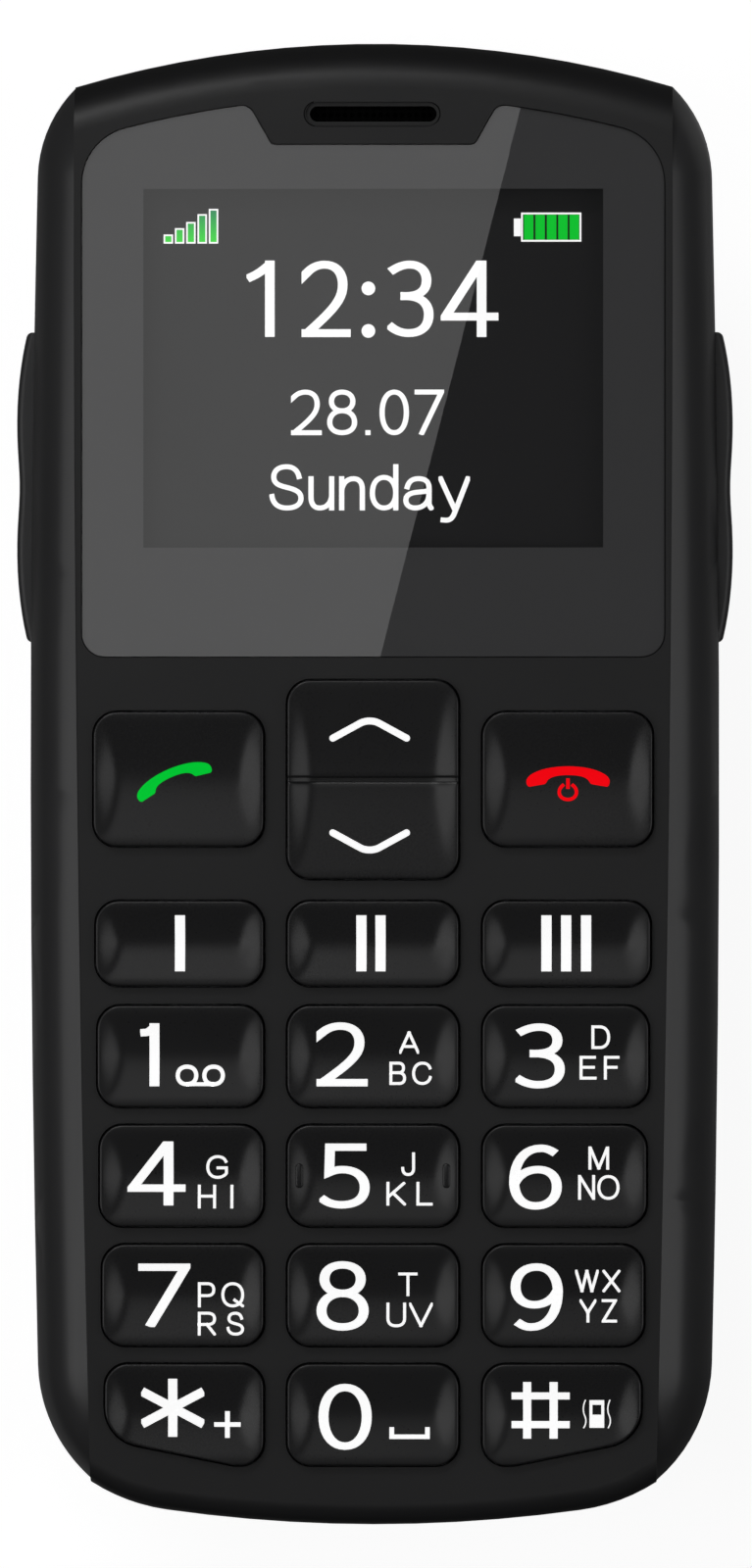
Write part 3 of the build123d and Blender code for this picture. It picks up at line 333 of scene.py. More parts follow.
@dataclass(frozen=True)
class ClearWindow:
    """Clear hard-coated plastic: the outer face's gloss over what lies behind it."""

    name: str
    tint: Colour = (1.0, 1.0, 1.0)
    roughness: float = 0.0
    ior: float = 1.9
    haze: float = 120.0
    haze_share: float = 0.06

    def material(self) -> Material:
        """Build the material."""
        shader = Shader(self.name)
        haze = shader.noise(shader.place(), self.haze, detail=4.0)
        fresnel = shader.node("Fresnel", {"IOR": self.ior})
        inner = shader.node("NewGeometry", output="Backfacing")
        clear = shader.node("BsdfTransparent", {"Color": (*self.tint, 1.0)})
        gloss = shader.node("BsdfGlossy", {"Roughness": self.roughness})
        share = fresnel * (1.0 - inner) * (1.0 - self.haze_share / 2 + haze * self.haze_share)
        return shader.finish(shader.blend(share, clear, gloss))


@dataclass(frozen=True)
class Glowing:
    """A lit sign on the display, which may fade into another colour upwards."""

    name: str
    colour: Colour
    strength: float = 1.08
    pitch: float = 0.22 * MM
    upper: Colour | None = None
    low: float = 0.0
    high: float = 1.0
    dot_tint: float = -0.03
    unlit: Colour = (0.01, 0.01, 0.01)

    def material(self) -> Material:
        """Build the material."""
        shader = Shader(self.name)
        dots = shader.noise(shader.place(), 1.0 / self.pitch)
        colour = shader.mix(dots, tinted(self.colour, self.dot_tint), self.colour)
        if self.upper:
            height = shader.node("SeparateXYZ", {"Vector": shader.place()}, output="Y")
            colour = shader.mix((height - self.low) * (1.0 / (self.high - self.low)), colour, self.upper)
        sockets = {
            "Base Color": (*self.unlit, 1.0),
            "Roughness": 0.5,
            "Specular IOR Level": 0.0,
            "Emission Color": colour,
            "Emission Strength": self.strength,
        }
        return shader.principled(sockets)


Finish = Moulding | Metal | Perforated | Circuit | ClearWindow | Glowing


@cache
def material_of(finish: Finish) -> Material:
    """The finish's material, made once."""
    return finish.material()


FRONT = Moulding("front_shell_satin", (0.0130, 0.0130, 0.0135), 0.42)
RAIL = Moulding(
    "side_rail_satin", (0.041, 0.041, 0.042), 0.31, grain=3000.0, depth=0.005 * MM, stretch=(1.0, 0.03, 1.0)
)
SIDE_KEY = Moulding("side_key_satin", (0.038, 0.038, 0.039), 0.38, depth=0.004 * MM)
KEY_CAP = Moulding("key_cap_gloss", (0.0140, 0.0140, 0.0145), 0.28, depth=0.003 * MM)
# Painted shade: a near-black film for the earpiece frame's dark joint line and the shade of its small step.
JOINT_PAINTED_SHADE = Moulding("joint_shadow", (0.0035, 0.0035, 0.0035), 0.8, depth=0.0, specular=0.1)
COVER = Moulding("back_cover_grained", (0.024, 0.024, 0.0245), 0.48, grain=2600.0, depth=0.03 * MM)
REAR = Moulding("rear_shell_matt", (0.022, 0.022, 0.023), 0.55)
LENS_PRINT = Moulding("lens_print", (0.080, 0.080, 0.082), 0.6, depth=0.0, mottle=0.03, specular=0.1)
PANEL = Moulding("display_glass_dark", (0.021, 0.021, 0.022), 0.4, depth=0.0, mottle=0.04, specular=0.1)
# The printed legends and signs carry a painted glow: they emit their own colour to read brighter than the
# lamps make them.
LEGEND_PAINTED_GLOW, CALL_GREEN_PAINTED_GLOW, END_RED_PAINTED_GLOW = (
    Moulding(f"painted_glow_legend_{name}", colour, 0.5, depth=0.0, mottle=mottle, specular=0.05, glow=glow)
    for name, colour, mottle, glow in (
        ("white", (0.94, 0.94, 0.94), 0.02, 0.68),
        ("green", (0.0, 0.57, 0.033), 0.03, 0.6),
        ("red", (0.90, 0.001, 0.005), 0.03, 0.6),
    )
)
LENS = ClearWindow("display_window_clear")
TORCH_LENS = ClearWindow("torch_lens_clear", (0.95, 0.96, 0.98), 0.05)
LIT_WHITE = Glowing("display_white", (1.0, 1.0, 1.0))
LIT_GREEN = Glowing("display_green", (0.0, 0.52, 0.025))
FADING_GREEN = Glowing(
    "display_green_fading", (0.020, 0.68, 0.020), upper=(0.0, 0.20, 0.075), low=41.8 * MM, high=44.4 * MM
)
BATTERY_WRAP = Moulding("battery_wrap", (0.22, 0.23, 0.25), 0.45)
EMERGENCY_RED = Moulding("emergency_red", (0.42, 0.012, 0.012), 0.3)

NODE_FINISHES: dict[str, Finish] = {
    "display_panel": PANEL,
    "earpiece_mesh": Perforated("earpiece_mesh_black", (0.002, 0.002, 0.002), metallic=0.0, specular=0.03),
    "earpiece_receiver": Moulding("receiver_black", (0.03, 0.03, 0.032), 0.5),
    "display_module": Metal("display_tray_steel", (0.42, 0.42, 0.43), 0.4),
    "display_gasket": Moulding(
        "foam_black", (0.02, 0.02, 0.02), 0.9, grain=1800.0, depth=0.08 * MM, specular=0.2
    ),
    "main_board": Circuit("board_green"),
    "dome_switches": Metal("dome_steel", (0.56, 0.56, 0.57), 0.22),
    "keypad_membrane": Moulding("silicone_grey", (0.30, 0.30, 0.32), 0.6, depth=0.02 * MM),
    "side_switches": Moulding("switch_black", (0.05, 0.05, 0.05), 0.5),
    "shield_can": Metal("shield_tin", (0.60, 0.60, 0.58), 0.35, (12.0, 1.0, 1.0)),
    "battery_contacts": Metal("contact_gold", (0.78, 0.56, 0.22), 0.25),
    "card_holders": Metal("holder_steel", (0.56, 0.56, 0.58), 0.3),
    "memory_card_slot": Metal("slot_steel", (0.54, 0.54, 0.56), 0.3, (12.0, 1.0, 1.0)),
    "loudspeaker": Moulding("speaker_body", (0.045, 0.045, 0.048), 0.5),
    "speaker_mesh": Perforated("speaker_mesh_black", (0.035, 0.035, 0.037), 0.8 * MM),
    "usb_port": Metal("port_steel", (0.58, 0.58, 0.58), 0.28),
    "audio_jack": Moulding("jack_black", (0.02, 0.02, 0.02), 0.45),
    "torch_lamp": Moulding("lamp_resin", (0.80, 0.78, 0.55), 0.35, mottle=0.04),
    "microphone": Metal("capsule_tin", (0.52, 0.52, 0.53), 0.35),
    "vibration_motor": Metal("motor_can", (0.60, 0.60, 0.61), 0.28),
    "motor_shaft": Metal("shaft_steel", (0.62, 0.62, 0.64), 0.2),
    "vibration_weight": Metal("tungsten_grey", (0.30, 0.30, 0.31), 0.45),
    "motor_boot": Moulding("boot_rubber", (0.03, 0.03, 0.03), 0.85, grain=1500.0, depth=0.05 * MM),
    "antenna_carrier": Moulding("carrier_ivory", (0.60, 0.58, 0.52), 0.5),
    "housing_screws": Metal("screw_zinc", (0.46, 0.46, 0.48), 0.35),
}


# Mesh helpers

WELD = 0.0005 * MM
MERGE = 0.001 * MM
FLAT_LEAD = 60
FILM_STEP = 0.35 * MM
STROKE_LAYER = 0.0015 * MM
END_LAYER = 0.0007 * MM
NARROWEST_MITRE = 0.3
DISC_SIDES = 20
FILM_CREASE = 40.0
SHELL_CREASE = 28.0
CURVE_STEPS = 10


def placed(name: str, data: bpy.types.ID | None) -> Object:
    """A new object in the scene."""
    made = bpy.data.objects.new(name, data)
    bpy.context.scene.collection.objects.link(made)
    return made


def bisected(
    bm: BMesh, spot: Sequence[float], way: Sequence[float], dist: float = 1e-7, **settings: bool
) -> None:
    """Cut the whole mesh by a plane."""
    geometry = [*bm.verts, *bm.edges, *bm.faces]
    bmesh.ops.bisect_plane(bm, geom=geometry, dist=dist, plane_co=spot, plane_no=way, **settings)


def smooth_object(name: str, bm: BMesh, crease: float) -> Object:
    """Turn a bmesh, which is freed, into an object that is shaded smooth up to an angle in degrees."""
    for face in bm.faces:
        face.smooth = True
    for edge in bm.edges:
        edge.smooth = len(edge.link_faces) == 2 and edge.calc_face_angle(0.0) < math.radians(crease)
    mesh = bpy.data.meshes.new(name)
    bm.to_mesh(mesh)
    bm.free()
    return placed(name, mesh)


def closed_object(name: str, bm: BMesh, crease: float = 30.0) -> Object:
    """The same, with all faces turned outward first."""
    bmesh.ops.recalc_face_normals(bm, faces=bm.faces)
    return smooth_object(name, bm, crease)


def dress(piece: Object, finish: Finish, body: str, slot: str | None = None) -> None:
    """Give a piece its finish and its body.

    Args:
        piece: The new piece, in place.
        finish: What it is made of.
        body: The CAD body that it rides on.
        slot: The record's material slot; not used.
    """
    piece.data.materials.clear()
    piece.data.materials.append(material_of(finish))
    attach(piece, body)
    log.info("piece %s rides on %s", piece.name, body)


def refined(node: str, name: str, lead: bool = True, slices: float = 0.0) -> Object:
    """A merged, smoothly shaded copy of a CAD node.

    Args:
        node: The CAD node's name.
        name: The new piece's name.
        lead: Whether large flat faces decide the shading.
        slices: How far apart cuts across the length lie; zero makes none.

    Returns:
        The copy, which replaces the node.
    """
    bm = bmesh.new()
    bm.from_mesh(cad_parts[node].data)
    bmesh.ops.remove_doubles(bm, verts=bm.verts, dist=WELD)
    bmesh.ops.dissolve_degenerate(bm, edges=bm.edges, dist=WELD)
    if slices:
        foot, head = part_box(node)
        for index in range(1, math.ceil((head.y - foot.y) / slices)):
            bisected(bm, (0.0, foot.y + index * slices, 0.0), (0.0, 1.0, 0.0))
    piece = smooth_object(name, bm, SHELL_CREASE)
    if lead:
        modifier = piece.modifiers.new("flat_faces_lead", "WEIGHTED_NORMAL")
        modifier.keep_sharp = True
        modifier.weight = FLAT_LEAD
    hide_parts(node)
    return piece


# Flat signs


@dataclass(frozen=True)
class Layout:
    """Places on the front, given as pixels of a 767 by 1600 front view."""

    pixel: float = 0.076 * MM
    middle: Point = (380.3, 799.5)

    def point(self, x: float, y: float) -> Point:
        """The place on the front of a pixel."""
        return ((x - self.middle[0]) * self.pixel, (self.middle[1] - y) * self.pixel)


@dataclass(frozen=True)
class Frame:
    """An upright rectangle on the front, in pixels of the front view."""

    left: float
    top: float
    right: float
    foot: float

    def sides(self, inset: float = 0.0) -> tuple[float, float, float, float]:
        """Its left, low, right and high sides in metres, moved inward by an inset."""
        left, high = LAYOUT.point(self.left, self.top)
        right, low = LAYOUT.point(self.right, self.foot)
        return left + inset, low + inset, right - inset, high - inset


@dataclass(frozen=True)
class Pen:
    """A pen by the width, in pixels, of its upright and of its level strokes."""

    upright: float
    level: float


@dataclass(frozen=True)
class Glyph:
    """One character: its path in a unit box, and its box in heights of a capital, which words use."""

    path: str
    width: float = 0.75
    low: float = 0.0
    high: float = 1.0


LAYOUT = Layout()
ROUND = "M .5 1 C .83 1 1 .77 1 .5 C 1 .23 .83 0 .5 0 C .17 0 0 .23 0 .5 C 0 .77 .17 1 .5 1"
SIX = (
    "M .88 .95 C .8 .985 .72 1 .63 1 C .2 1 0 .72 0 .42 C 0 .15 .2 0 .5 0 "
    "C .8 0 1 .13 1 .33 C 1 .52 .82 .63 .56 .63 C .33 .63 .12 .55 .02 .4"
)
NINE = (
    "M .12 .05 C .2 .015 .28 0 .37 0 C .8 0 1 .28 1 .58 C 1 .85 .8 1 .5 1 "
    "C .2 1 0 .87 0 .67 C 0 .48 .18 .37 .44 .37 C .67 .37 .88 .45 .98 .6"
)
BOWL = "L .55 1 C .85 1 1 .9 1 .73 C 1 .55 .85 .46 .55 .46 L 0 .46"
GLYPHS: dict[str, Glyph] = {
    "0": Glyph(ROUND),
    "1": Glyph("M 1 0 L 1 1 M 0 .9 C .4 .9 .7 .95 1 1"),
    "2": Glyph(
        "M -.13 .80 L .02 .885 C .12 .945 .26 1 .46 1 C .76 1 .92 .88 .92 .71 "
        "C .92 .5 .72 .36 .06 .02 M 0 0 L 1 0"
    ),
    "3": Glyph(
        "M .05 .93 C .2 .98 .35 1 .48 1 C .78 1 .94 .9 .94 .77 C .94 .62 .75 .54 .36 .54 "
        "M .36 .54 C .8 .54 1 .43 1 .27 C 1 .1 .8 0 .45 0 C .28 0 .12 .03 0 .08"
    ),
    "4": Glyph("M .75 0 L .75 1 M 1 .24 L 0 .24 L .7 1"),
    "5": Glyph(
        "M .92 1 L .14 1 L .12 .56 C .25 .6 .35 .61 .45 .61 C .8 .61 1 .48 1 .3 C 1 .1 .78 0 .42 0 "
        "C .25 0 .1 .03 0 .08"
    ),
    "6": Glyph(SIX),
    "7": Glyph("M 0 1 L 1 1 L .2 0"),
    "8": Glyph(
        "M .5 1 C .78 1 .93 .9 .93 .77 C .93 .63 .75 .54 .5 .54 "
        "C .25 .54 .07 .63 .07 .77 C .07 .9 .22 1 .5 1 "
        "M .5 .54 C .8 .54 1 .42 1 .26 C 1 .1 .8 0 .5 0 C .2 0 0 .1 0 .26 C 0 .42 .2 .54 .5 .54"
    ),
    "9": Glyph(NINE),
    ".": Glyph("M .5 0 L .5 .001"),
    "*": Glyph("M .5 0 L .5 1 M 0 .79 L 1 .21 M 0 .21 L 1 .79"),
    "+": Glyph("M .5 0 L .5 1 M 0 .5 L 1 .5"),
    "#": Glyph("M .23 0 L .23 1 M .76 0 L .76 1 M 0 .79 L 1 .79 M 0 .21 L 1 .21"),
    "_": Glyph("M 0 1 L 0 0 L 1 0 L 1 1"),
    "^": Glyph("M 0 0 L .36 .8 C .44 1 .56 1 .64 .8 L 1 0"),
    "v": Glyph("M 0 1 L .36 .2 C .44 0 .56 0 .64 .2 L 1 1"),
    "A": Glyph("M -.04 0 L .5 1 M 1.04 0 L .5 1 M .17 .3 L .83 .3"),
    "B": Glyph(
        "M 0 0 L 0 1 L .55 1 C .8 1 .92 .9 .92 .77 C .92 .62 .8 .53 .55 .53 L 0 .53 "
        "M .55 .53 C .85 .53 1 .42 1 .27 C 1 .1 .88 0 .58 0 L 0 0",
        0.72,
    ),
    "C": Glyph(
        "M .98 .76 C .92 .92 .75 1 .52 1 C .2 1 0 .78 0 .5 C 0 .2 .2 0 .52 0 C .78 0 .95 .12 1 .3", 0.85
    ),
    "D": Glyph("M 0 0 L 0 1 L .42 1 C .8 1 1 .8 1 .5 C 1 .2 .8 0 .42 0 L 0 0"),
    "E": Glyph("M 1 0 L 0 0 L 0 1 L .95 1 M 0 .52 L .88 .52", 0.72),
    "F": Glyph("M 0 0 L 0 1 L 1 1 M 0 .52 L .85 .52", 0.66),
    "G": Glyph(
        "M .97 .77 C .9 .92 .75 1 .53 1 C .2 1 0 .78 0 .5 C 0 .2 .2 0 .53 0 "
        "C .75 0 .92 .1 1 .2 L 1 .46 L .55 .46"
    ),
    "H": Glyph("M 0 0 L 0 1 M 1 0 L 1 1 M 0 .52 L 1 .52", 0.77),
    "I": Glyph("M .5 0 L .5 1", 0.16),
    "J": Glyph("M 1 1 L 1 .3 C 1 .1 .8 0 .5 0 C .2 0 0 .1 0 .3"),
    "K": Glyph("M 0 0 L 0 1 M .95 1 L 0 .33 M .3 .54 L 1 0", 0.83),
    "L": Glyph("M 0 1 L 0 0 L 1 0", 0.69),
    "M": Glyph("M 0 0 L 0 1 M 1 0 L 1 1 M .03 1 L .5 0 M .97 1 L .5 0"),
    "N": Glyph("M 0 0 L 0 1 M 1 0 L 1 1 M .02 1 L .98 0", 0.69),
    "O": Glyph(ROUND, 0.9),
    "P": Glyph("M 0 0 L 0 1 " + BOWL, 0.69),
    "Q": Glyph(ROUND + " M .6 .26 L 1 0", 0.91),
    "R": Glyph("M 0 0 L 0 1 " + BOWL + " M .5 .46 L 1 0", 0.77),
    "S": Glyph(
        "M .93 .76 C .88 .92 .72 1 .5 1 C .22 1 .06 .9 .06 .75 C .06 .57 .3 .54 .5 .5 "
        "C .78 .45 1 .4 1 .24 C 1 .08 .8 0 .52 0 C .22 0 .04 .1 0 .28",
        0.74,
    ),
    "T": Glyph("M 0 1 L 1 1 M .5 1 L .5 0"),
    "U": Glyph("M 0 1 L 0 .35 C 0 .1 .2 0 .5 0 C .8 0 1 .1 1 .35 L 1 1", 0.8),
    "V": Glyph("M -.03 1 L .5 0 M 1.03 1 L .5 0", 0.96),
    "W": Glyph("M -.02 1 L .26 0 M .5 1 L .26 0 M .5 1 L .74 0 M 1.02 1 L .74 0", 1.04),
    "X": Glyph("M 0 1 L 1 0 M 0 0 L 1 1", 0.8),
    "Y": Glyph("M -.04 1 L .5 .42 M 1.04 1 L .5 .42 M .5 .5 L .5 0", 0.72),
    "Z": Glyph("M 0 1 L 1 1 L 0 0 L 1 0", 0.66),
    "a": Glyph(
        "M .06 .72 C .12 .93 .3 1 .5 1 C .8 1 .92 .88 .92 .66 L .92 .2 C .92 .1 .95 .05 1 0 "
        "M .9 .6 C .7 .5 .0 .62 0 .27 C 0 .1 .15 0 .38 0 C .65 0 .9 .16 .91 .42",
        0.66, 0.0, 0.74,
    ),
    "d": Glyph(
        "M 1 0 L 1 1 M 1 .36 C 1 .14 .8 0 .5 0 C .2 0 0 .14 0 .36 "
        "C 0 .6 .2 .74 .5 .74 C .8 .74 1 .58 1 .36",
        0.62,
    ),
    "n": Glyph("M 0 0 L 0 1 M 0 .6 C .05 .87 .3 1 .57 1 C .85 1 1 .87 1 .62 L 1 0", 0.56, 0.0, 0.74),
    "u": Glyph("M 1 1 L 1 0 M 1 .4 C .95 .13 .7 0 .43 0 C .15 0 0 .13 0 .38 L 0 1", 0.56, 0.0, 0.74),
    "y": Glyph("M -.02 1 L .52 .27 M 1.02 1 L .52 .2 C .42 .04 .32 0 .08 .02", 0.68, -0.28, 0.74),
}


def traced(path: str) -> list[list[Point]]:
    """Turn a path of moves, lines and cubic curves into point lists.

    Args:
        path: Letters M, L and C, each followed by its coordinates.

    Returns:
        One list of points for each stroke.
    """
    words = path.split()
    counts = {"M": 1, "L": 1, "C": 3}
    strokes: list[list[Point]] = []
    place = 0
    while place < len(words):
        command = words[place]
        numbers = [float(word) for word in words[place + 1 : place + 1 + counts[command] * 2]]
        points = list(zip(numbers[::2], numbers[1::2]))
        place += 1 + len(numbers)
        if command == "M":
            strokes.append(points)
        elif command == "L":
            strokes[-1] += points
        else:
            start, (first, second, end) = Vector(strokes[-1][-1]), (Vector(point) for point in points)
            for step in range(1, CURVE_STEPS + 1):
                t = step / CURVE_STEPS
                u = 1.0 - t
                spot = start * u**3 + first * 3 * u * u * t + second * 3 * u * t * t + end * t**3
                strokes[-1].append((spot.x, spot.y))
    return strokes


def ribbon(path: Sequence[Point], half: float, layer: float = 0.0) -> BMesh:
    """A flat band along a path, with mitred turns.

    Args:
        path: The middle line; a closed one ends at its first point.
        half: Half the band's width.
        layer: The band's height, so that bands that cross don't share a plane.

    Returns:
        The band, made of four-sided faces.
    """
    spots = [Vector(point) for point in path]
    last = len(spots) - 1
    closed = (spots[0] - spots[-1]).length < 1e-9
    bm = bmesh.new()
    bmesh.ops.create_grid(bm, x_segments=1, y_segments=last, size=1.0)
    for vert in bm.verts:
        index = round((vert.co.y + 1.0) / 2.0 * last)
        side = 1.0 if vert.co.x > 0 else -1.0
        if closed and index in (0, last):
            behind, ahead = spots[0] - spots[-2], spots[1] - spots[0]
        else:
            behind = spots[index] - spots[max(index - 1, 0)]
            ahead = spots[min(index + 1, last)] - spots[index]
        ahead, behind = (ahead if ahead.length else behind), (behind if behind.length else ahead)
        way = (ahead.normalized() + behind.normalized()).normalized()
        reach = half / max(NARROWEST_MITRE, way.dot(ahead.normalized()))
        vert.co = (spots[index].x + way.y * side * reach, spots[index].y - way.x * side * reach, layer)
    if closed:
        bmesh.ops.remove_doubles(bm, verts=bm.verts, dist=half * 0.001)
    return bm


def disc(x: float, y: float, radius: float, layer: float = 0.0) -> BMesh:
    """A flat round."""
    bm = bmesh.new()
    made = bmesh.ops.create_circle(bm, cap_ends=True, cap_tris=True, segments=DISC_SIDES, radius=radius)
    bmesh.ops.translate(bm, verts=made["verts"], vec=(x, y, layer))
    return bm


def rectangle(frame_box: Frame, inset: float = 0.0) -> BMesh:
    """A flat upright rectangle."""
    left, low, right, high = frame_box.sides(inset)
    return ribbon([((left + right) / 2, low), ((left + right) / 2, high)], (right - left) / 2)


def border(frame_box: Frame, width: float) -> BMesh:
    """A flat band just inside an upright rectangle."""
    left, low, right, high = frame_box.sides(width / 2)
    return ribbon([(left, low), (right, low), (right, high), (left, high), (left, low)], width / 2)


def joined(*parts: BMesh) -> BMesh:
    """Several flat parts as one."""
    whole = bmesh.new()
    for part in parts:
        mesh = bpy.data.meshes.new("part")
        part.to_mesh(mesh)
        whole.from_mesh(mesh)
        bpy.data.meshes.remove(mesh)
        part.free()
    return whole


def clipped(bm: BMesh, width: float, height: float) -> BMesh:
    """Cut away what lies outside a box that starts at the origin."""
    for place, way in (((0, 0), (-1, 0)), ((0, 0), (0, -1)), ((width, 0), (1, 0)), ((0, height), (0, 1))):
        bisected(bm, (*place, 0), (*way, 0), 1e-6, clear_outer=True)
    return bm


def drawn(path: str, frame_box: Frame, pen: Pen, rounded: bool = False) -> BMesh:
    """Draw a path with a pen so that it fills a rectangle.

    Args:
        path: The path in a unit box.
        frame_box: The rectangle.
        pen: The pen's two widths.
        rounded: Whether open strokes end round; otherwise they end square.

    Returns:
        The flat drawing, its crossing strokes on layers of their own.
    """
    left, low, right, high = frame_box.sides()
    width = (frame_box.right - frame_box.left) / pen.upright
    height = (frame_box.foot - frame_box.top) / pen.level
    parts = []
    for index, stroke in enumerate(traced(path)):
        spots = [Vector((0.5 + x * (width - 1.0), 0.5 + y * (height - 1.0))) for x, y in stroke]
        layer = index * STROKE_LAYER
        if (spots[0] - spots[-1]).length > 1e-6:
            if rounded:
                parts += [disc(*spot, 0.5, layer + END_LAYER) for spot in (spots[0], spots[-1])]
            else:
                spots[0] += (spots[0] - spots[1]).normalized() * 0.5
                spots[-1] += (spots[-1] - spots[-2]).normalized() * 0.5
        parts.append(ribbon([(spot.x, spot.y) for spot in spots], 0.5, layer))
    bm = clipped(joined(*parts), width, height)
    for vert in bm.verts:
        vert.co.x = left + vert.co.x / width * (right - left)
        vert.co.y = low + vert.co.y / height * (high - low)
    return bm


def written(text: str, frame_box: Frame, pen: Pen) -> BMesh:
    """Write characters between the sides of a rectangle.

    Args:
        text: The characters.
        frame_box: Its top and foot are those of a capital letter.
        pen: The pen's two widths.

    Returns:
        The flat characters.
    """
    glyphs = [GLYPHS[character] for character in text]
    if len(glyphs) == 1:
        return drawn(glyphs[0].path, frame_box, pen)
    height = frame_box.foot - frame_box.top
    widths = [glyph.width * height for glyph in glyphs]
    gap = (frame_box.right - frame_box.left - sum(widths)) / (len(glyphs) - 1)
    parts, start = [], frame_box.left
    for glyph, width in zip(glyphs, widths):
        top, foot = frame_box.foot - glyph.high * height, frame_box.foot - glyph.low * height
        parts.append(drawn(glyph.path, Frame(start, top, start + width, foot), pen))
        start += width + gap
    return joined(*parts)


def laid_on(name: str, bm: BMesh, surface: Surface, proud: float, sunk: float) -> Object:
    """Lay a flat sign on a curved surface as a thin closed film.

    Args:
        name: The new piece's name.
        bm: The flat sign, which is freed.
        surface: Height of the surface at a place.
        proud: How far the film stands over the surface.
        sunk: How far it reaches under it.

    Returns:
        The film as an object.
    """
    for axis, way in enumerate(((1.0, 0.0, 0.0), (0.0, 1.0, 0.0))):
        places = [vert.co[axis] for vert in bm.verts]
        for index in range(math.ceil(min(places) / FILM_STEP), math.ceil(max(places) / FILM_STEP)):
            bisected(bm, [part * index * FILM_STEP for part in way], way)
    made = bmesh.ops.extrude_face_region(bm, geom=list(bm.faces), use_keep_orig=True)
    raised = {item for item in made["geom"] if isinstance(item, bmesh.types.BMVert)}
    for vert in bm.verts:
        lift = proud + vert.co.z if vert in raised else -sunk
        vert.co.z = surface(vert.co.x, vert.co.y) + lift
    return closed_object(name, bm, FILM_CREASE)


# Front keys


@dataclass(frozen=True)
class KeySizes:
    """Sizes that all front keys share."""

    lip: float = 0.45 * MM
    foot: float = 11.15 * MM
    top: float = 14.0 * MM
    corner: float = 1.8 * MM
    corner_steps: int = 12
    land: float = 0.45 * MM
    dish: float = 0.42 * MM
    side_land: float = 0.2 * MM
    fold: float = 0.2
    ramp: float = 1.7 * MM
    ramp_power: float = 1.25
    blend: float = 0.35
    rim: float = 0.12 * MM
    groove_width: float = 0.45 * MM
    groove_depth: float = 0.3 * MM
    groove_wall: float = 0.08 * MM
    groove_ring: float = 0.05 * MM
    groove_shoulder: float = 0.14 * MM
    groove_fall: float = 0.04 * MM
    slant: float = 2.0 * MM
    knee: float = 2.3 * MM
    knee_round: float = 1.5 * MM
    slant_round: float = 3.0 * MM
    mesh_step: float = 0.28 * MM
    crease: float = 42.0


SIZES = KeySizes()


class KeyForm(Enum):
    """What a key's outline is like."""

    PLAIN = "plain"
    ROCKER = "rocker"
    SLANT_LEFT = "slant_left"
    SLANT_RIGHT = "slant_right"


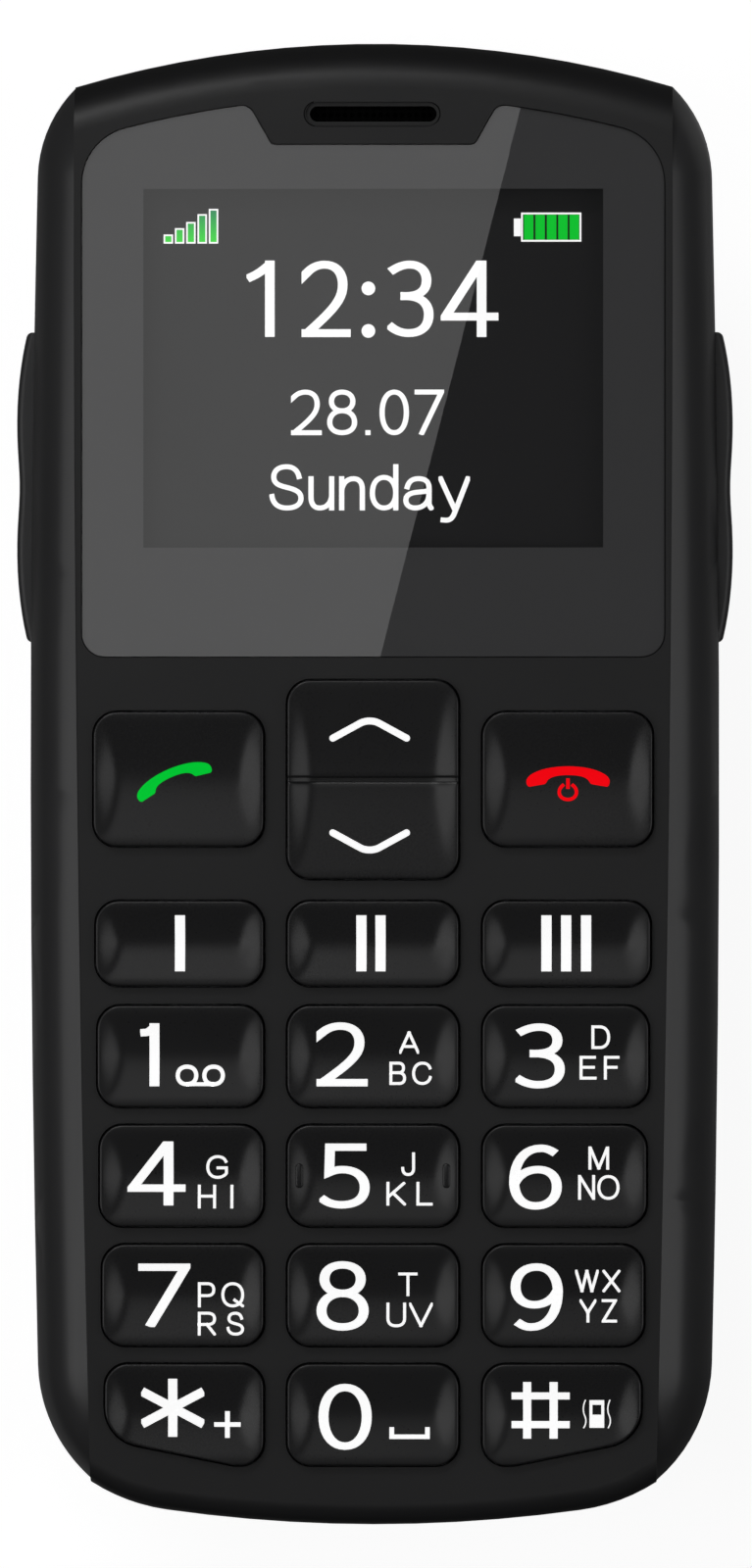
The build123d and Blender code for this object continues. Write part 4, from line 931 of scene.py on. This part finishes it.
@dataclass
class KeyCap:
    """One front key: its outline, its dished top and its walls."""

    node: str
    form: KeyForm = KeyForm.PLAIN
    near: tuple[float, ...] = (0.0, 0.01, 0.035, 0.07, 0.12, 0.2, 0.32)
    left: float = field(init=False)
    right: float = field(init=False)
    low: float = field(init=False)
    high: float = field(init=False)

    def __post_init__(self) -> None:
        """Take the cap's sides from the CAD node, without its hidden lip."""
        foot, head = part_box(self.node)
        lip_ends = 0.0 if self.form is KeyForm.ROCKER else SIZES.lip
        self.left, self.right = foot.x + SIZES.lip, head.x - SIZES.lip
        self.low, self.high = foot.y + lip_ends, head.y - lip_ends

    @property
    def middle(self) -> Point:
        """The cap's middle."""
        return ((self.left + self.right) / 2, (self.low + self.high) / 2)

    def corners(self) -> list[Triple]:
        """The outline's corners, counter-clockwise, each with its rounding."""
        square = SIZES.corner
        corners = [(self.left, self.low, square), (self.right, self.low, square)]
        corners += [(self.right, self.high, square), (self.left, self.high, square)]
        if self.form is KeyForm.SLANT_LEFT:
            knee = (self.right - SIZES.knee, self.low, SIZES.knee_round)
            corners[0:1] = [(self.left, self.low + SIZES.slant, SIZES.slant_round), knee]
        if self.form is KeyForm.SLANT_RIGHT:
            knee = (self.left + SIZES.knee, self.low, SIZES.knee_round)
            corners[1:2] = [knee, (self.right, self.low + SIZES.slant, SIZES.slant_round)]
        return corners

    def outline(self) -> list[Vector]:
        """The cap's outline with rounded corners, counter-clockwise."""
        corners = self.corners()
        points = []
        for index, (x, y, radius) in enumerate(corners):
            spot = Vector((x, y))
            before = (Vector(corners[index - 1][:2]) - spot).normalized()
            after = (Vector(corners[(index + 1) % len(corners)][:2]) - spot).normalized()
            half = before.angle(after) / 2
            centre = spot + (before + after).normalized() * radius / math.sin(half)
            start = spot + before * radius / math.tan(half) - centre
            end = spot + after * radius / math.tan(half) - centre
            for step in range(SIZES.corner_steps + 1):
                points.append(centre + start.lerp(end, step / SIZES.corner_steps).normalized() * radius)
        return points

    def dish(self, x: float, y: float) -> float:
        """Depth of the hollow: a soft fold along X whose two ends rise as ramps."""
        off = abs(y - self.middle[1]) / ((self.high - self.low) / 2 - SIZES.land)
        sunk = math.hypot(off, SIZES.fold) - SIZES.fold
        fold = max(0.0, 1.0 - sunk / (math.hypot(1.0, SIZES.fold) - SIZES.fold))
        reach = max(0.0, min(x - self.left, self.right - x) - SIZES.side_land)
        bulge = max(0.1, math.sqrt(max(0.0, 1.0 - off**2))) * (SIZES.ramp - SIZES.side_land)
        share = (reach / bulge) ** SIZES.ramp_power
        near = max(0.0, SIZES.blend - abs(share - 1.0)) / SIZES.blend
        return SIZES.dish * fold * max(0.0, min(share, 1.0) - near**2 * SIZES.blend / 4)

    def surface(self, x: float, y: float) -> float:
        """Height of the top without its rounded rim."""
        return SIZES.top - self.dish(x, y)

    def rows(self) -> list[float]:
        """Places of the mesh's rows, close where the form turns."""
        rows = [self.low + step * MM for step in self.near] + [self.high - step * MM for step in self.near]
        if self.form is KeyForm.ROCKER:
            half = SIZES.groove_width / 2
            ends = (-SIZES.groove_wall, 0.0, SIZES.groove_ring, SIZES.groove_shoulder)
            for step in (0.0, *(half + end for end in ends)):
                rows += [self.middle[1] - step, self.middle[1] + step]
        rows = sorted(set(round(row, 7) for row in rows))
        filled = []
        for here, there in zip(rows, rows[1:]):
            parts = max(1, math.ceil((there - here) / SIZES.mesh_step))
            filled += [here + (there - here) * part / parts for part in range(parts)]
        return filled + [rows[-1]]

    def columns(self, start: float, end: float) -> list[float]:
        """Places along a row of the mesh, close at its ends."""
        left = [start + step * MM for step in self.near]
        right = [end - step * MM for step in reversed(self.near)]
        parts = math.ceil((self.right - self.left - 2 * SIZES.land) / SIZES.mesh_step)
        inner = [left[-1] + (right[0] - left[-1]) * part / parts for part in range(1, parts)]
        return left + inner + right

    def span(self, y: float, outline: Sequence[Vector]) -> Point:
        """Where the outline's left and right sides are on a row."""
        inside = min(max(y, self.low + 1e-7), self.high - 1e-7)
        crossings = []
        for here, there in zip(outline, [*outline[1:], outline[0]]):
            if (here.y - inside) * (there.y - inside) <= 0 and here.y != there.y:
                crossings.append(here.x + (there.x - here.x) * (inside - here.y) / (there.y - here.y))
        return min(crossings), max(crossings)

    def rim_drop(self, x: float, y: float, outline: Sequence[Vector]) -> float:
        """How far the rounded rim has fallen at a place."""
        spot = Vector((x, y))
        nearest = SIZES.rim
        for here, there in zip(outline, [*outline[1:], outline[0]]):
            along = there - here
            if along.length_squared:
                share = min(1.0, max(0.0, (spot - here).dot(along) / along.length_squared))
                nearest = min(nearest, (here + along * share - spot).length)
        return SIZES.rim - math.sqrt(max(0.0, SIZES.rim**2 - (SIZES.rim - nearest) ** 2))

    def build(self) -> None:
        """Build the cap as a closed mesh."""
        outline = self.outline()
        rows = self.rows()
        width = len(self.columns(self.left, self.right))
        bm = bmesh.new()
        bmesh.ops.create_grid(bm, x_segments=width - 1, y_segments=len(rows) - 1, size=1.0)
        middle = self.middle[1]
        for vert in bm.verts:
            column = round((vert.co.x + 1) / 2 * (width - 1))
            y = rows[round((vert.co.y + 1) / 2 * (len(rows) - 1))]
            x = self.columns(*self.span(y, outline))[column]
            z = self.surface(x, y) - self.rim_drop(x, y, outline)
            if self.form is KeyForm.ROCKER:
                inward = SIZES.groove_width / 2 - abs(y - middle)
                deep = min(1.0, max(0.0, inward / SIZES.groove_wall))
                soft = min(1.0, max(0.0, (inward + SIZES.groove_shoulder) / SIZES.groove_shoulder))
                z -= SIZES.groove_depth * deep + SIZES.groove_fall * soft**2
            vert.co = (x, y, z)
        made = bmesh.ops.extrude_edge_only(bm, edges=[edge for edge in bm.edges if edge.is_boundary])
        for item in made["geom"]:
            if isinstance(item, bmesh.types.BMVert):
                item.co.z = SIZES.foot
        bmesh.ops.remove_doubles(bm, verts=bm.verts, dist=MERGE)
        bmesh.ops.holes_fill(bm, edges=[edge for edge in bm.edges if edge.is_boundary], sides=0)
        piece = closed_object(f"{self.node}_cap", bm, SIZES.crease)
        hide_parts(self.node)
        dress(piece, KEY_CAP, self.node, "key_cap")


@dataclass
class Keypad:
    """The front keys and what is printed on them."""

    proud: float = 0.015 * MM
    sunk: float = 0.03 * MM
    digit_pen: Pen = Pen(10.1, 7.5)
    letter_pen: Pen = Pen(3.0, 2.9)
    bar_half: float = 5.2
    handset_split: int = 3 * CURVE_STEPS + 1
    handset_columns: int = 44
    handset_ends: float = 15.5
    locating_size: Triple = (0.6 * MM, 1.9 * MM, 0.8 * MM)
    locating_out: float = 5.68 * MM
    locating_sunk: float = 0.42 * MM
    locating_round: float = 0.28 * MM
    locating_crown: float = 0.12 * MM
    locating_crease: float = 35.0
    caps: dict[str, KeyCap] = field(default_factory=dict)

    def build(self) -> None:
        """Build all caps and their signs."""
        forms = {"navigation_rocker": KeyForm.ROCKER, "star_key": KeyForm.SLANT_LEFT}
        forms["hash_key"] = KeyForm.SLANT_RIGHT
        names = ["call_key", "end_key", *forms]
        names += [f"quick_key_{number}" for number in (1, 2, 3)] + [f"key_{number}" for number in range(10)]
        for name in names:
            self.caps[name] = KeyCap(name, forms.get(name, KeyForm.PLAIN))
            self.caps[name].build()
        self.print_characters()
        self.print_bars()
        self.print_signs()
        self.print_call_signs()
        self.raise_locating_bars()

    def lay(self, key: str, name: str, bm: BMesh, finish: Finish = LEGEND_PAINTED_GLOW) -> None:
        """Lay one sign on its key."""
        piece = laid_on(name, bm, self.caps[key].surface, self.proud, self.sunk)
        dress(piece, finish, key)

    def print_characters(self) -> None:
        """Print the digits and their letter groups."""
        digits = {
            "key_1": Frame(144, 1043, 163.5, 1107), "key_2": Frame(323, 1042, 375, 1107),
            "key_3": Frame(525, 1043, 575, 1109), "key_4": Frame(131, 1163, 190, 1228),
            "key_5": Frame(326, 1165, 377, 1231), "key_6": Frame(518.5, 1166, 572, 1232),
            "key_7": Frame(142, 1287, 195, 1351.5), "key_8": Frame(323, 1284.5, 376, 1355),
            "key_9": Frame(520, 1286.5, 573, 1355), "key_0": Frame(325, 1409, 379, 1476),
        }
        for key, frame_box in digits.items():
            self.lay(key, f"{key}_digit", written(key[-1], frame_box, self.digit_pen))
        groups = {
            "key_2": (("A", Frame(407, 1051, 427, 1074)), ("BC", Frame(397, 1082, 440, 1105.5))),
            "key_3": (("D", Frame(602, 1045, 621, 1069)), ("EF", Frame(590, 1076, 630.5, 1100))),
            "key_4": (("G", Frame(211, 1177, 233, 1201)), ("HI", Frame(202.5, 1207, 239, 1231))),
            "key_5": (("J", Frame(409, 1174, 423, 1198)), ("KL", Frame(394, 1204, 441, 1228))),
            "key_6": (("M", Frame(599, 1168, 620, 1191.5)), ("NO", Frame(588.5, 1197, 630.5, 1222))),
            "key_7": (("PQ", Frame(202.5, 1306, 249.5, 1331.5)), ("RS", Frame(202.5, 1336, 249.5, 1360))),
            "key_8": (("T", Frame(406, 1296, 425.6, 1320)), ("UV", Frame(394, 1326.6, 441, 1351.5))),
            "key_9": (("WX", Frame(585.5, 1293, 631.5, 1316)), ("YZ", Frame(590, 1323, 628, 1346.6))),
        }
        for key, lines in groups.items():
            letters = joined(*(written(text, frame_box, self.letter_pen) for text, frame_box in lines))
            self.lay(key, f"{key}_letters", letters)

    def print_bars(self) -> None:
        """Print one, two and three bars on the quick keys."""
        bars = {"quick_key_1": (184.4,), "quick_key_2": (368.6, 388), "quick_key_3": (556.4, 576.4, 596.6)}
        half = self.bar_half
        for key, middles in bars.items():
            parts = [rectangle(Frame(middle - half, 933.3, middle + half, 990.2)) for middle in middles]
            self.lay(key, f"{key}_bars", joined(*parts))

    def print_signs(self) -> None:
        """Print the arrows, the star, the hash and the small signs."""
        for character, name, top, foot in (("^", "arrow_up", 731.6, 757), ("v", "arrow_down", 846, 871.4)):
            arrow = drawn(GLYPHS[character].path, Frame(336, top, 418, foot), Pen(7.0, 7.0), rounded=True)
            self.lay("navigation_rocker", name, arrow)
        reels = [drawn(ROUND, Frame(left, 1085, left + 23, 1107), Pen(4.2, 4.2)) for left in (180, 207)]
        tape = rectangle(Frame(191, 1102.9, 219, 1106.8))
        signs = (
            ("star_key", "star_sign", written("*", Frame(145, 1404, 209, 1463), Pen(9.4, 9.0))),
            ("star_key", "plus_sign", written("+", Frame(219, 1437, 246, 1464), Pen(5.0, 4.6))),
            ("hash_key", "hash_sign", written("#", Frame(521, 1407, 580, 1464.5), Pen(8.3, 7.2))),
            ("hash_key", "silent_sign", self.silent_sign()),
            ("key_0", "space_sign", written("_", Frame(397, 1453, 438, 1465), Pen(4.8, 4.6))),
            ("key_1", "voicemail_sign", joined(*reels, tape)),
        )
        for key, name, drawing in signs:
            self.lay(key, name, drawing)

    def silent_sign(self) -> BMesh:
        """A small phone between wavy lines."""
        solid = (Frame(600, 1425.4, 615, 1430.2), Frame(600, 1440.2, 615, 1453.5))
        solid += (Frame(600, 1430.2, 603, 1440.2), Frame(612, 1430.2, 615, 1440.2))
        parts = [rectangle(frame_box) for frame_box in solid]
        wave = "M .3 0 C 1 .15 1 .3 .5 .45 C 0 .6 0 .8 .7 1"
        for frame_box in (Frame(592.6, 1425, 597.6, 1454), Frame(617.4, 1425, 622.4, 1454)):
            parts.append(drawn(wave, frame_box, Pen(1.3, 1.3)))
        return joined(*parts)

    def handset(self, middle: Point, turn: float, size: float) -> BMesh:
        """An arched telephone handset.

        Args:
            middle: The pixel half-way between its two ends.
            turn: Its turn in degrees, counter-clockwise.
            size: Its size, one for a handset 85 pixels long.

        Returns:
            The flat sign.
        """
        spots = traced(
            "M 0 0 C 14 0 28 2.5 36.5 7.7 C 40 9.8 42.3 12.5 42.3 15.5 C 42.3 17.5 41.5 20.8 39 20.8 "
            "L 24.6 18.4 C 23 18 22.3 17 21.4 15.2 C 18.6 10.4 9.6 9 0 9"
        )[0]
        bm = bmesh.new()
        bmesh.ops.create_grid(bm, x_segments=self.handset_columns, y_segments=1, size=1.0)
        outer, inner = spots[: self.handset_split], spots[self.handset_split + 1 :][::-1]
        angle = math.radians(turn)
        for vert in bm.verts:
            line = outer if vert.co.y > 0 else inner
            share = abs(vert.co.x) * (len(line) - 1)
            index = min(int(share), len(line) - 2)
            spot = Vector(line[index]).lerp(Vector(line[index + 1]), share - index)
            x, y = math.copysign(spot.x, vert.co.x) * size, (spot.y - self.handset_ends) * size
            turned = (
                middle[0] + x * math.cos(angle) + y * math.sin(angle),
                middle[1] - x * math.sin(angle) + y * math.cos(angle),
            )
            vert.co = (*LAYOUT.point(*turned), 0.0)
        bmesh.ops.remove_doubles(bm, verts=bm.verts, dist=MERGE)
        return bm

    def print_call_signs(self) -> None:
        """Print the green call sign and the red end sign."""
        self.lay("call_key", "call_sign", self.handset((178.6, 798.6), 23.0, 0.96), CALL_GREEN_PAINTED_GLOW)
        bow = drawn(
            "M .2 .86 C .06 .74 0 .6 0 .45 C 0 .2 .2 0 .5 0 C .8 0 1 .2 1 .45 C 1 .6 .94 .74 .8 .86",
            Frame(567.6, 797.5, 588.6, 817.5), Pen(3.5, 3.5),
        )
        stem = rectangle(Frame(576.4, 794.2, 580, 805))
        self.lay("end_key", "end_sign", joined(self.handset((578.3, 797.5), 0.0, 1.0), bow, stem), END_RED_PAINTED_GLOW)

    def raise_locating_bars(self) -> None:
        """Raise the two bars on the middle key that fingers find."""
        cap = self.caps["key_5"]
        for side, name in ((-1, "left"), (1, "right")):
            bm = bmesh.new()
            bmesh.ops.create_cube(bm, size=1.0)
            bmesh.ops.scale(bm, verts=bm.verts, vec=self.locating_size)
            bevel = {"profile": 0.5, "affect": "EDGES", "material": -1}
            uprights = [edge for edge in bm.edges if abs(edge.verts[0].co.z - edge.verts[1].co.z) > 0.1 * MM]
            bmesh.ops.bevel(bm, geom=uprights, offset=self.locating_round, segments=5, **bevel)
            crown = [edge for edge in bm.edges if min(vert.co.z for vert in edge.verts) > 0.39 * MM]
            bmesh.ops.bevel(bm, geom=crown, offset=self.locating_crown, segments=3, **bevel)
            x, y = cap.middle[0] + side * self.locating_out, cap.middle[1]
            bmesh.ops.translate(bm, verts=bm.verts, vec=(x, y, SIZES.top - self.locating_sunk))
            piece = closed_object(f"locating_bar_{name}", bm, self.locating_crease)
            dress(piece, KEY_CAP, "key_5", "key_cap")


# Display


@dataclass
class DisplayImage:
    """What the lit display shows."""

    gap: float = 0.02 * MM
    film: float = 0.02 * MM
    clock_pen: Pen = Pen(9.8, 8.0)
    small_pen: Pen = Pen(5.3, 5.0)
    colon_radius: float = 7.0
    bar_width: float = 9.6
    signal_line: float = 1.6
    battery_line: float = 1.8

    def build(self) -> None:
        """Build the lit signs over the display's glass."""
        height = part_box("display_panel")[1].z + self.gap
        self.light("clock", self.clock(), height, LIT_WHITE)
        self.light("date", self.date(), height, LIT_WHITE)
        weekday = written("Sunday", Frame(274, 474.6, 478, 521.6), self.small_pen)
        self.light("weekday", weekday, height, LIT_WHITE)
        self.signal_bars(height)
        self.battery_sign(height)

    def light(self, name: str, bm: BMesh, height: float, finish: Glowing) -> None:
        """Lay one lit sign on the display."""
        piece = laid_on(f"display_{name}", bm, lambda x, y: height, self.film / 2, self.film / 2)
        dress(piece, finish, "handset")

    def clock(self) -> BMesh:
        """The time in large figures."""
        one = "M 1 0 L 1 1 M 0 .82 C .35 .86 .7 .93 .98 1"
        parts = [drawn(one, Frame(250.7, 267.3, 279.3, 345), self.clock_pen)]
        for digit, left, right in (("2", 306.7, 356.7), ("3", 394, 441), ("4", 448.3, 507)):
            parts.append(written(digit, Frame(left, 267.5, right, 345.2), self.clock_pen))
        parts += [disc(*LAYOUT.point(374.7, y), self.colon_radius * LAYOUT.pixel) for y in (295.7, 339)]
        return joined(*parts)

    def date(self) -> BMesh:
        """The day and the month."""
        spans = ((296, 327.3), (332.7, 363.3), (371, 377.5), (386, 416), (421.7, 451.7))
        frames = [Frame(left, 398.7, right, 445) for left, right in spans]
        return joined(*[written(*pair, self.small_pen) for pair in zip("28.07", frames)])

    def signal_bars(self, height: float) -> None:
        """Five rising bars, green with white borders."""
        starts = ((166.3, 240.7), (177.8, 234.3), (189.3, 228), (200.8, 220), (212.3, 214.7))
        frames = [Frame(start, top, start + self.bar_width, 250) for start, top in starts]
        line = self.signal_line * LAYOUT.pixel
        green = [rectangle(frame_box, line) for frame_box in frames]
        white = [border(frame_box, line) for frame_box in frames]
        self.light("signal_bars", joined(*green), height, FADING_GREEN)
        self.light("signal_borders", joined(*white), height, LIT_WHITE)

    def battery_sign(self, height: float) -> None:
        """A white battery outline with five green cells."""
        outline = border(Frame(530, 218.7, 591.3, 248.3), self.battery_line * LAYOUT.pixel)
        terminal = rectangle(Frame(522.7, 224.7, 529.7, 242.7))
        self.light("battery_border", joined(outline, terminal), height, LIT_WHITE)
        starts = (533, 544.6, 556.3, 567.8, 579.4)
        cells = [rectangle(Frame(start, 220.9, start + self.bar_width, 246.3)) for start in starts]
        self.light("battery_cells", joined(*cells), height, LIT_GREEN)


# Shells and what stays as CAD made it


@dataclass(frozen=True)
class RailForm:
    """The flanks' true form: a rounding that follows three arcs seen from above."""

    radius: float = 5.0 * MM
    crown: float = 13.458 * MM
    slope: float = 0.003556
    steepest: float = 0.945
    facing: float = 0.5
    limits: tuple[float, ...] = (46.9 * MM, -44.9 * MM)
    centres: tuple[Point, ...] = (
        (16.111 * MM, 46.759 * MM), (-1880.84 * MM, 1.0 * MM), (13.933 * MM, -44.707 * MM)
    )

    def level(self, spot: Vector) -> tuple[int, Vector]:
        """Which arc a place belongs to, and the way there from the arc's centre."""
        part = sum(spot.y < limit for limit in self.limits)
        return part, Vector((abs(spot.x), spot.y)) - Vector(self.centres[part])

    def normal(self, spot: Vector, edges: Sequence[float]) -> Vector:
        """The outward direction of the flank at a place, away from the rounding's own centre line."""
        part, way = self.level(spot)
        out = max(0.0, way.length - edges[part] + self.radius)
        up = max(0.0, spot.z - self.crown - self.slope * spot.y + self.radius)
        rise = min(self.steepest, up / max(1e-9, math.hypot(out, up)))
        flat = way.normalized() * math.sqrt(1.0 - rise**2)
        return Vector((math.copysign(flat.x, spot.x), flat.y, rise))

    def shade(self, piece: Object) -> None:
        """Give a flank's mesh the shading of its true form, and leave its cut faces."""
        mesh = piece.data
        edges = [0.0] * len(self.centres)
        for vert in mesh.vertices:
            part, way = self.level(vert.co)
            edges[part] = max(edges[part], way.length)
        normals = [Vector((0.0, 0.0, 0.0))] * len(mesh.loops)
        for face in mesh.polygons:
            for loop in face.loop_indices:
                true = self.normal(mesh.vertices[mesh.loops[loop].vertex_index].co, edges)
                if true.dot(face.normal) > self.facing:
                    normals[loop] = true
        mesh.normals_split_custom_set(normals)


@dataclass
class Shells:
    """The moulded shells, the rails and the keys at the sides and the back."""

    rail_form: RailForm = field(default_factory=RailForm)
    rail_slices: float = 0.8 * MM

    def build(self) -> None:
        """Build refined copies of the curved shells."""
        shells = (
            ("front_housing", "front_shell", FRONT, "handset", "front_shell"),
            ("right_rail", "right_rail_trim", RAIL, "handset", "side_rail"),
            ("left_rail", "left_rail_trim", RAIL, "handset", "side_rail"),
            ("right_side_key", "right_rocker_cap", SIDE_KEY, "right_side_key", "side_key"),
            ("left_side_key", "left_rocker_cap", SIDE_KEY, "left_side_key", "side_key"),
            ("rear_housing", "rear_shell", REAR, "handset", "rear_shell"),
            ("battery_cover", "back_cover", COVER, "battery_cover", "cover"),
            ("battery", "battery_pack", BATTERY_WRAP, "battery", "battery_wrap"),
            ("emergency_key", "emergency_cap", EMERGENCY_RED, "emergency_key", "emergency"),
            ("torch_lens", "torch_window", TORCH_LENS, "handset", "torch_clear"),
        )
        for node, name, finish, body, slot in shells:
            rail = slot == "side_rail"
            piece = refined(node, name, lead=not rail, slices=self.rail_slices if rail else 0.0)
            dress(piece, finish, body, slot)
            if rail:
                self.rail_form.shade(piece)


@dataclass
class Earpiece:
    """The fine joint line of the frame that holds the earpiece slot: a dark film, painted shade of its small
    step.
    """

    slot: Frame = Frame(315.0, 111.5, 443.5, 127.0)
    away: float = 0.36 * MM
    width: float = 0.09 * MM
    proud: float = 0.004 * MM
    sunk: float = 0.03 * MM
    steps: int = 24

    def path(self) -> list[Point]:
        """The line's middle: two half rounds and what joins them."""
        left, low, right, high = self.slot.sides()
        radius = (high - low) / 2
        reach = radius + self.away
        path = []
        for centre, start in ((right - radius, -90), (left + radius, 90)):
            for step in range(self.steps + 1):
                angle = math.radians(start + step * 180 / self.steps)
                path.append((centre + math.cos(angle) * reach, (low + high) / 2 + math.sin(angle) * reach))
        return [*path, path[0]]

    def build(self) -> None:
        """Lay the line on the front shell."""
        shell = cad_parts["front_housing"]
        shell_tree = BVHTree.FromPolygons(
            [vert.co for vert in shell.data.vertices], [face.vertices for face in shell.data.polygons]
        )

        def height(x: float, y: float) -> float:
            """Height of the front shell at a place."""
            return shell_tree.ray_cast(Vector((x, y, 1.0)), Vector((0.0, 0.0, -1.0)))[0].z

        flat = ribbon(self.path(), self.width / 2)
        # The dark ring is painted shade of the frame's step, laid as a film.
        dress(laid_on("earpiece_joint_painted_shade", flat, height, self.proud, self.sunk), JOINT_PAINTED_SHADE, "handset", "front_shell")


@dataclass
class Window:
    """The display window as a thin clear sheet with its print right behind it."""

    thickness: float = 0.3 * MM
    print_gap: float = 0.01 * MM
    print_thickness: float = 0.05 * MM

    def build(self) -> None:
        """Build the sheet and the print from the CAD outlines."""
        lens = refined("display_lens", "window_sheet")
        print_film = refined("lens_mask", "window_print")
        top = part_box("display_lens")[1].z
        self.fit(lens, top - self.thickness, top)
        head = top - self.thickness - self.print_gap
        self.fit(print_film, head - self.print_thickness, head)
        dress(lens, LENS, "handset", "lens")
        dress(print_film, LENS_PRINT, "handset", "lens_print")

    def fit(self, piece: Object, low: float, high: float) -> None:
        """Map a piece's heights to a new low and high end."""
        heights = [vert.co.z for vert in piece.data.vertices]
        foot, head = min(heights), max(heights)
        for vert in piece.data.vertices:
            vert.co.z = low + (vert.co.z - foot) / (head - foot) * (high - low)


@dataclass
class Insides:
    """CAD pieces whose shape is right and that only need a finish."""

    def build(self) -> None:
        """Give every remaining CAD node its material."""
        for node, finish in NODE_FINISHES.items():
            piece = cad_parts[node]
            for slot in piece.material_slots:
                slot.material = material_of(finish)
            log.info("node %s wears %s", node, finish.name)


# Studio


@dataclass
class Studio:
    """Floor, lamps, the reflecting card over the camera, and the camera."""

    lens: float = 400.0
    sensor: float = 36.0
    frame_height: float = 1600 * LAYOUT.pixel
    plane: float = 7.0 * MM
    farthest: float = 10.0
    yaw: float = 1.4
    floor_depth: float = 20.6 * MM
    floor_half: float = 4.0
    floor_bounce: float = 0.12
    floor_shade: float = 0.34
    floor_glow: float = 0.90
    room: Colour = (0.06, 0.06, 0.062)
    card_glow: float = 0.82
    card_over_eye: float = 0.05
    card_sides: Triple = (62 * MM, 3 * MM, -34 * MM)
    glare_ends: tuple[Point, Point] = ((530.7, 111.0), (387.5, 671.0))
    aim: Point = (383.5, 800.0)

    def build(self) -> None:
        """Build the whole studio."""
        self.set_view()
        self.lay_floor()
        self.light_world()
        self.hang_lamps()
        self.place_camera()
        self.hang_card()

    def set_view(self) -> None:
        """Show colours as they are."""
        bpy.context.scene.view_settings.view_transform = "Standard"

    def lay_floor(self) -> None:
        """A pale floor under the opened cover, which keeps the object's shadow and is clear from below."""
        bm = bmesh.new()
        bmesh.ops.create_grid(bm, x_segments=1, y_segments=1, size=self.floor_half)
        bmesh.ops.translate(bm, verts=bm.verts, vec=(0, 0, -self.floor_depth))
        floor = closed_object("floor", bm)
        shader = Shader("floor_pale")
        seen = shader.node("LightPath", output="Is Camera Ray")
        seen = seen.highest(shader.node("LightPath", output="Is Transmission Ray"))
        plain, shaded = (
            shader.node("BsdfDiffuse", {"Color": (share, share, share, 1.0)})
            for share in (self.floor_bounce, self.floor_shade)
        )
        glow = shader.node("Emission", {"Strength": self.floor_glow})
        upper = shader.blend(seen, plain, shader.node("AddShader", {0: shaded, 1: glow}))
        below = shader.node("NewGeometry", output="Backfacing")
        floor.data.materials.append(shader.finish(shader.blend(below, upper, shader.node("BsdfTransparent"))))
        floor.visible_shadow = False

    def light_world(self) -> None:
        """A dim even room that the camera sees as white."""
        world = bpy.data.worlds.new("room")
        bpy.context.scene.world = world
        shader = Shader("room", world)
        seen = shader.node("LightPath", output="Is Camera Ray")
        dim, white = (
            shader.node("Background", {"Color": (*grey, 1.0)}) for grey in (self.room, (1.0, 1.0, 1.0))
        )
        shader.finish(shader.blend(seen, dim, white), "World")

    def hang_lamps(self) -> None:
        """Soft boxes past the top, along both sides and below, each by its radiance."""
        lamps = (
            ("softbox_top", (-0.20, 0.50, 0.60), (0.40, 0.20), 4.0),
            ("softbox_over", (-0.13, 0.175, 0.69), (0.36, 0.15), 1.0),
            ("softbox_left", (-0.49, -0.05, 0.57), (0.32, 0.60), 1.20),
            ("softbox_right", (0.49, -0.05, 0.57), (0.32, 0.60), 1.02),
            ("softbox_under", (-0.30, -0.20, -0.60), (0.60, 0.40), 2.4),
            ("softbox_under_far", (0.45, 0.25, -0.50), (0.30, 0.60), 2.6),
        )
        for name, place, size, radiance in lamps:
            data = bpy.data.lights.new(name, "AREA")
            data.shape = "RECTANGLE"
            data.size, data.size_y = size
            data.energy = radiance * math.pi * size[0] * size[1]
            lamp = placed(name, data)
            lamp.location = place
            lamp.rotation_mode = "QUATERNION"
            lamp.rotation_quaternion = (-Vector(place)).to_track_quat("-Z", "Y")

    def place_camera(self) -> None:
        """A long lens straight over the phone, a little towards its right side."""
        data = bpy.data.cameras.new("camera")
        data.lens = self.lens
        data.sensor_width = self.sensor
        data.clip_end = self.farthest
        distance = self.frame_height * self.lens / self.sensor
        lean = math.radians(self.yaw)
        target = Vector((*LAYOUT.point(*self.aim), SIZES.top))
        back = Vector((math.sin(lean), 0.0, math.cos(lean)))
        camera = placed("camera", data)
        camera.location = target + back * (distance - (SIZES.top - self.plane))
        camera.rotation_euler = (0.0, lean, 0.0)
        bpy.context.scene.camera = camera

    def hang_card(self) -> None:
        """A bright card behind the camera whose slanted edge the display window mirrors."""
        eye = bpy.context.scene.camera.location
        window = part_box("display_lens")[1].z
        card_height = eye.z + self.card_over_eye
        grow = (card_height - window) / (eye.z - window)
        (top_x, top_y), (foot_x, foot_y) = (LAYOUT.point(*end) for end in self.glare_ends)
        slope = (top_x - foot_x) / (top_y - foot_y)
        high, low, far = self.card_sides
        bm = bmesh.new()
        bmesh.ops.create_grid(bm, x_segments=1, y_segments=1, size=1.0)
        for vert in bm.verts:
            y = high if vert.co.y > 0 else low
            x = foot_x + (y - foot_y) * slope if vert.co.x > 0 else far
            vert.co = (x + (x - eye.x) * grow, y + (y - eye.y) * grow, card_height)
        card = closed_object("bright_card", bm)
        shader = Shader("card_glow")
        card.data.materials.append(shader.finish(shader.node("Emission", {"Strength": self.card_glow})))
        card.visible_camera = False
        card.visible_diffuse = False


def main() -> None:
    """Build the phone's looks."""
    logging.basicConfig(level=logging.INFO, format="%(message)s")
    for assembly in (Shells(), Earpiece(), Window(), Insides(), Keypad(), DisplayImage(), Studio()):
        log.info("building %s", type(assembly).__name__)
        assembly.build()
    bpy.context.view_layer.update()


if __name__ == "__main__":
    main()
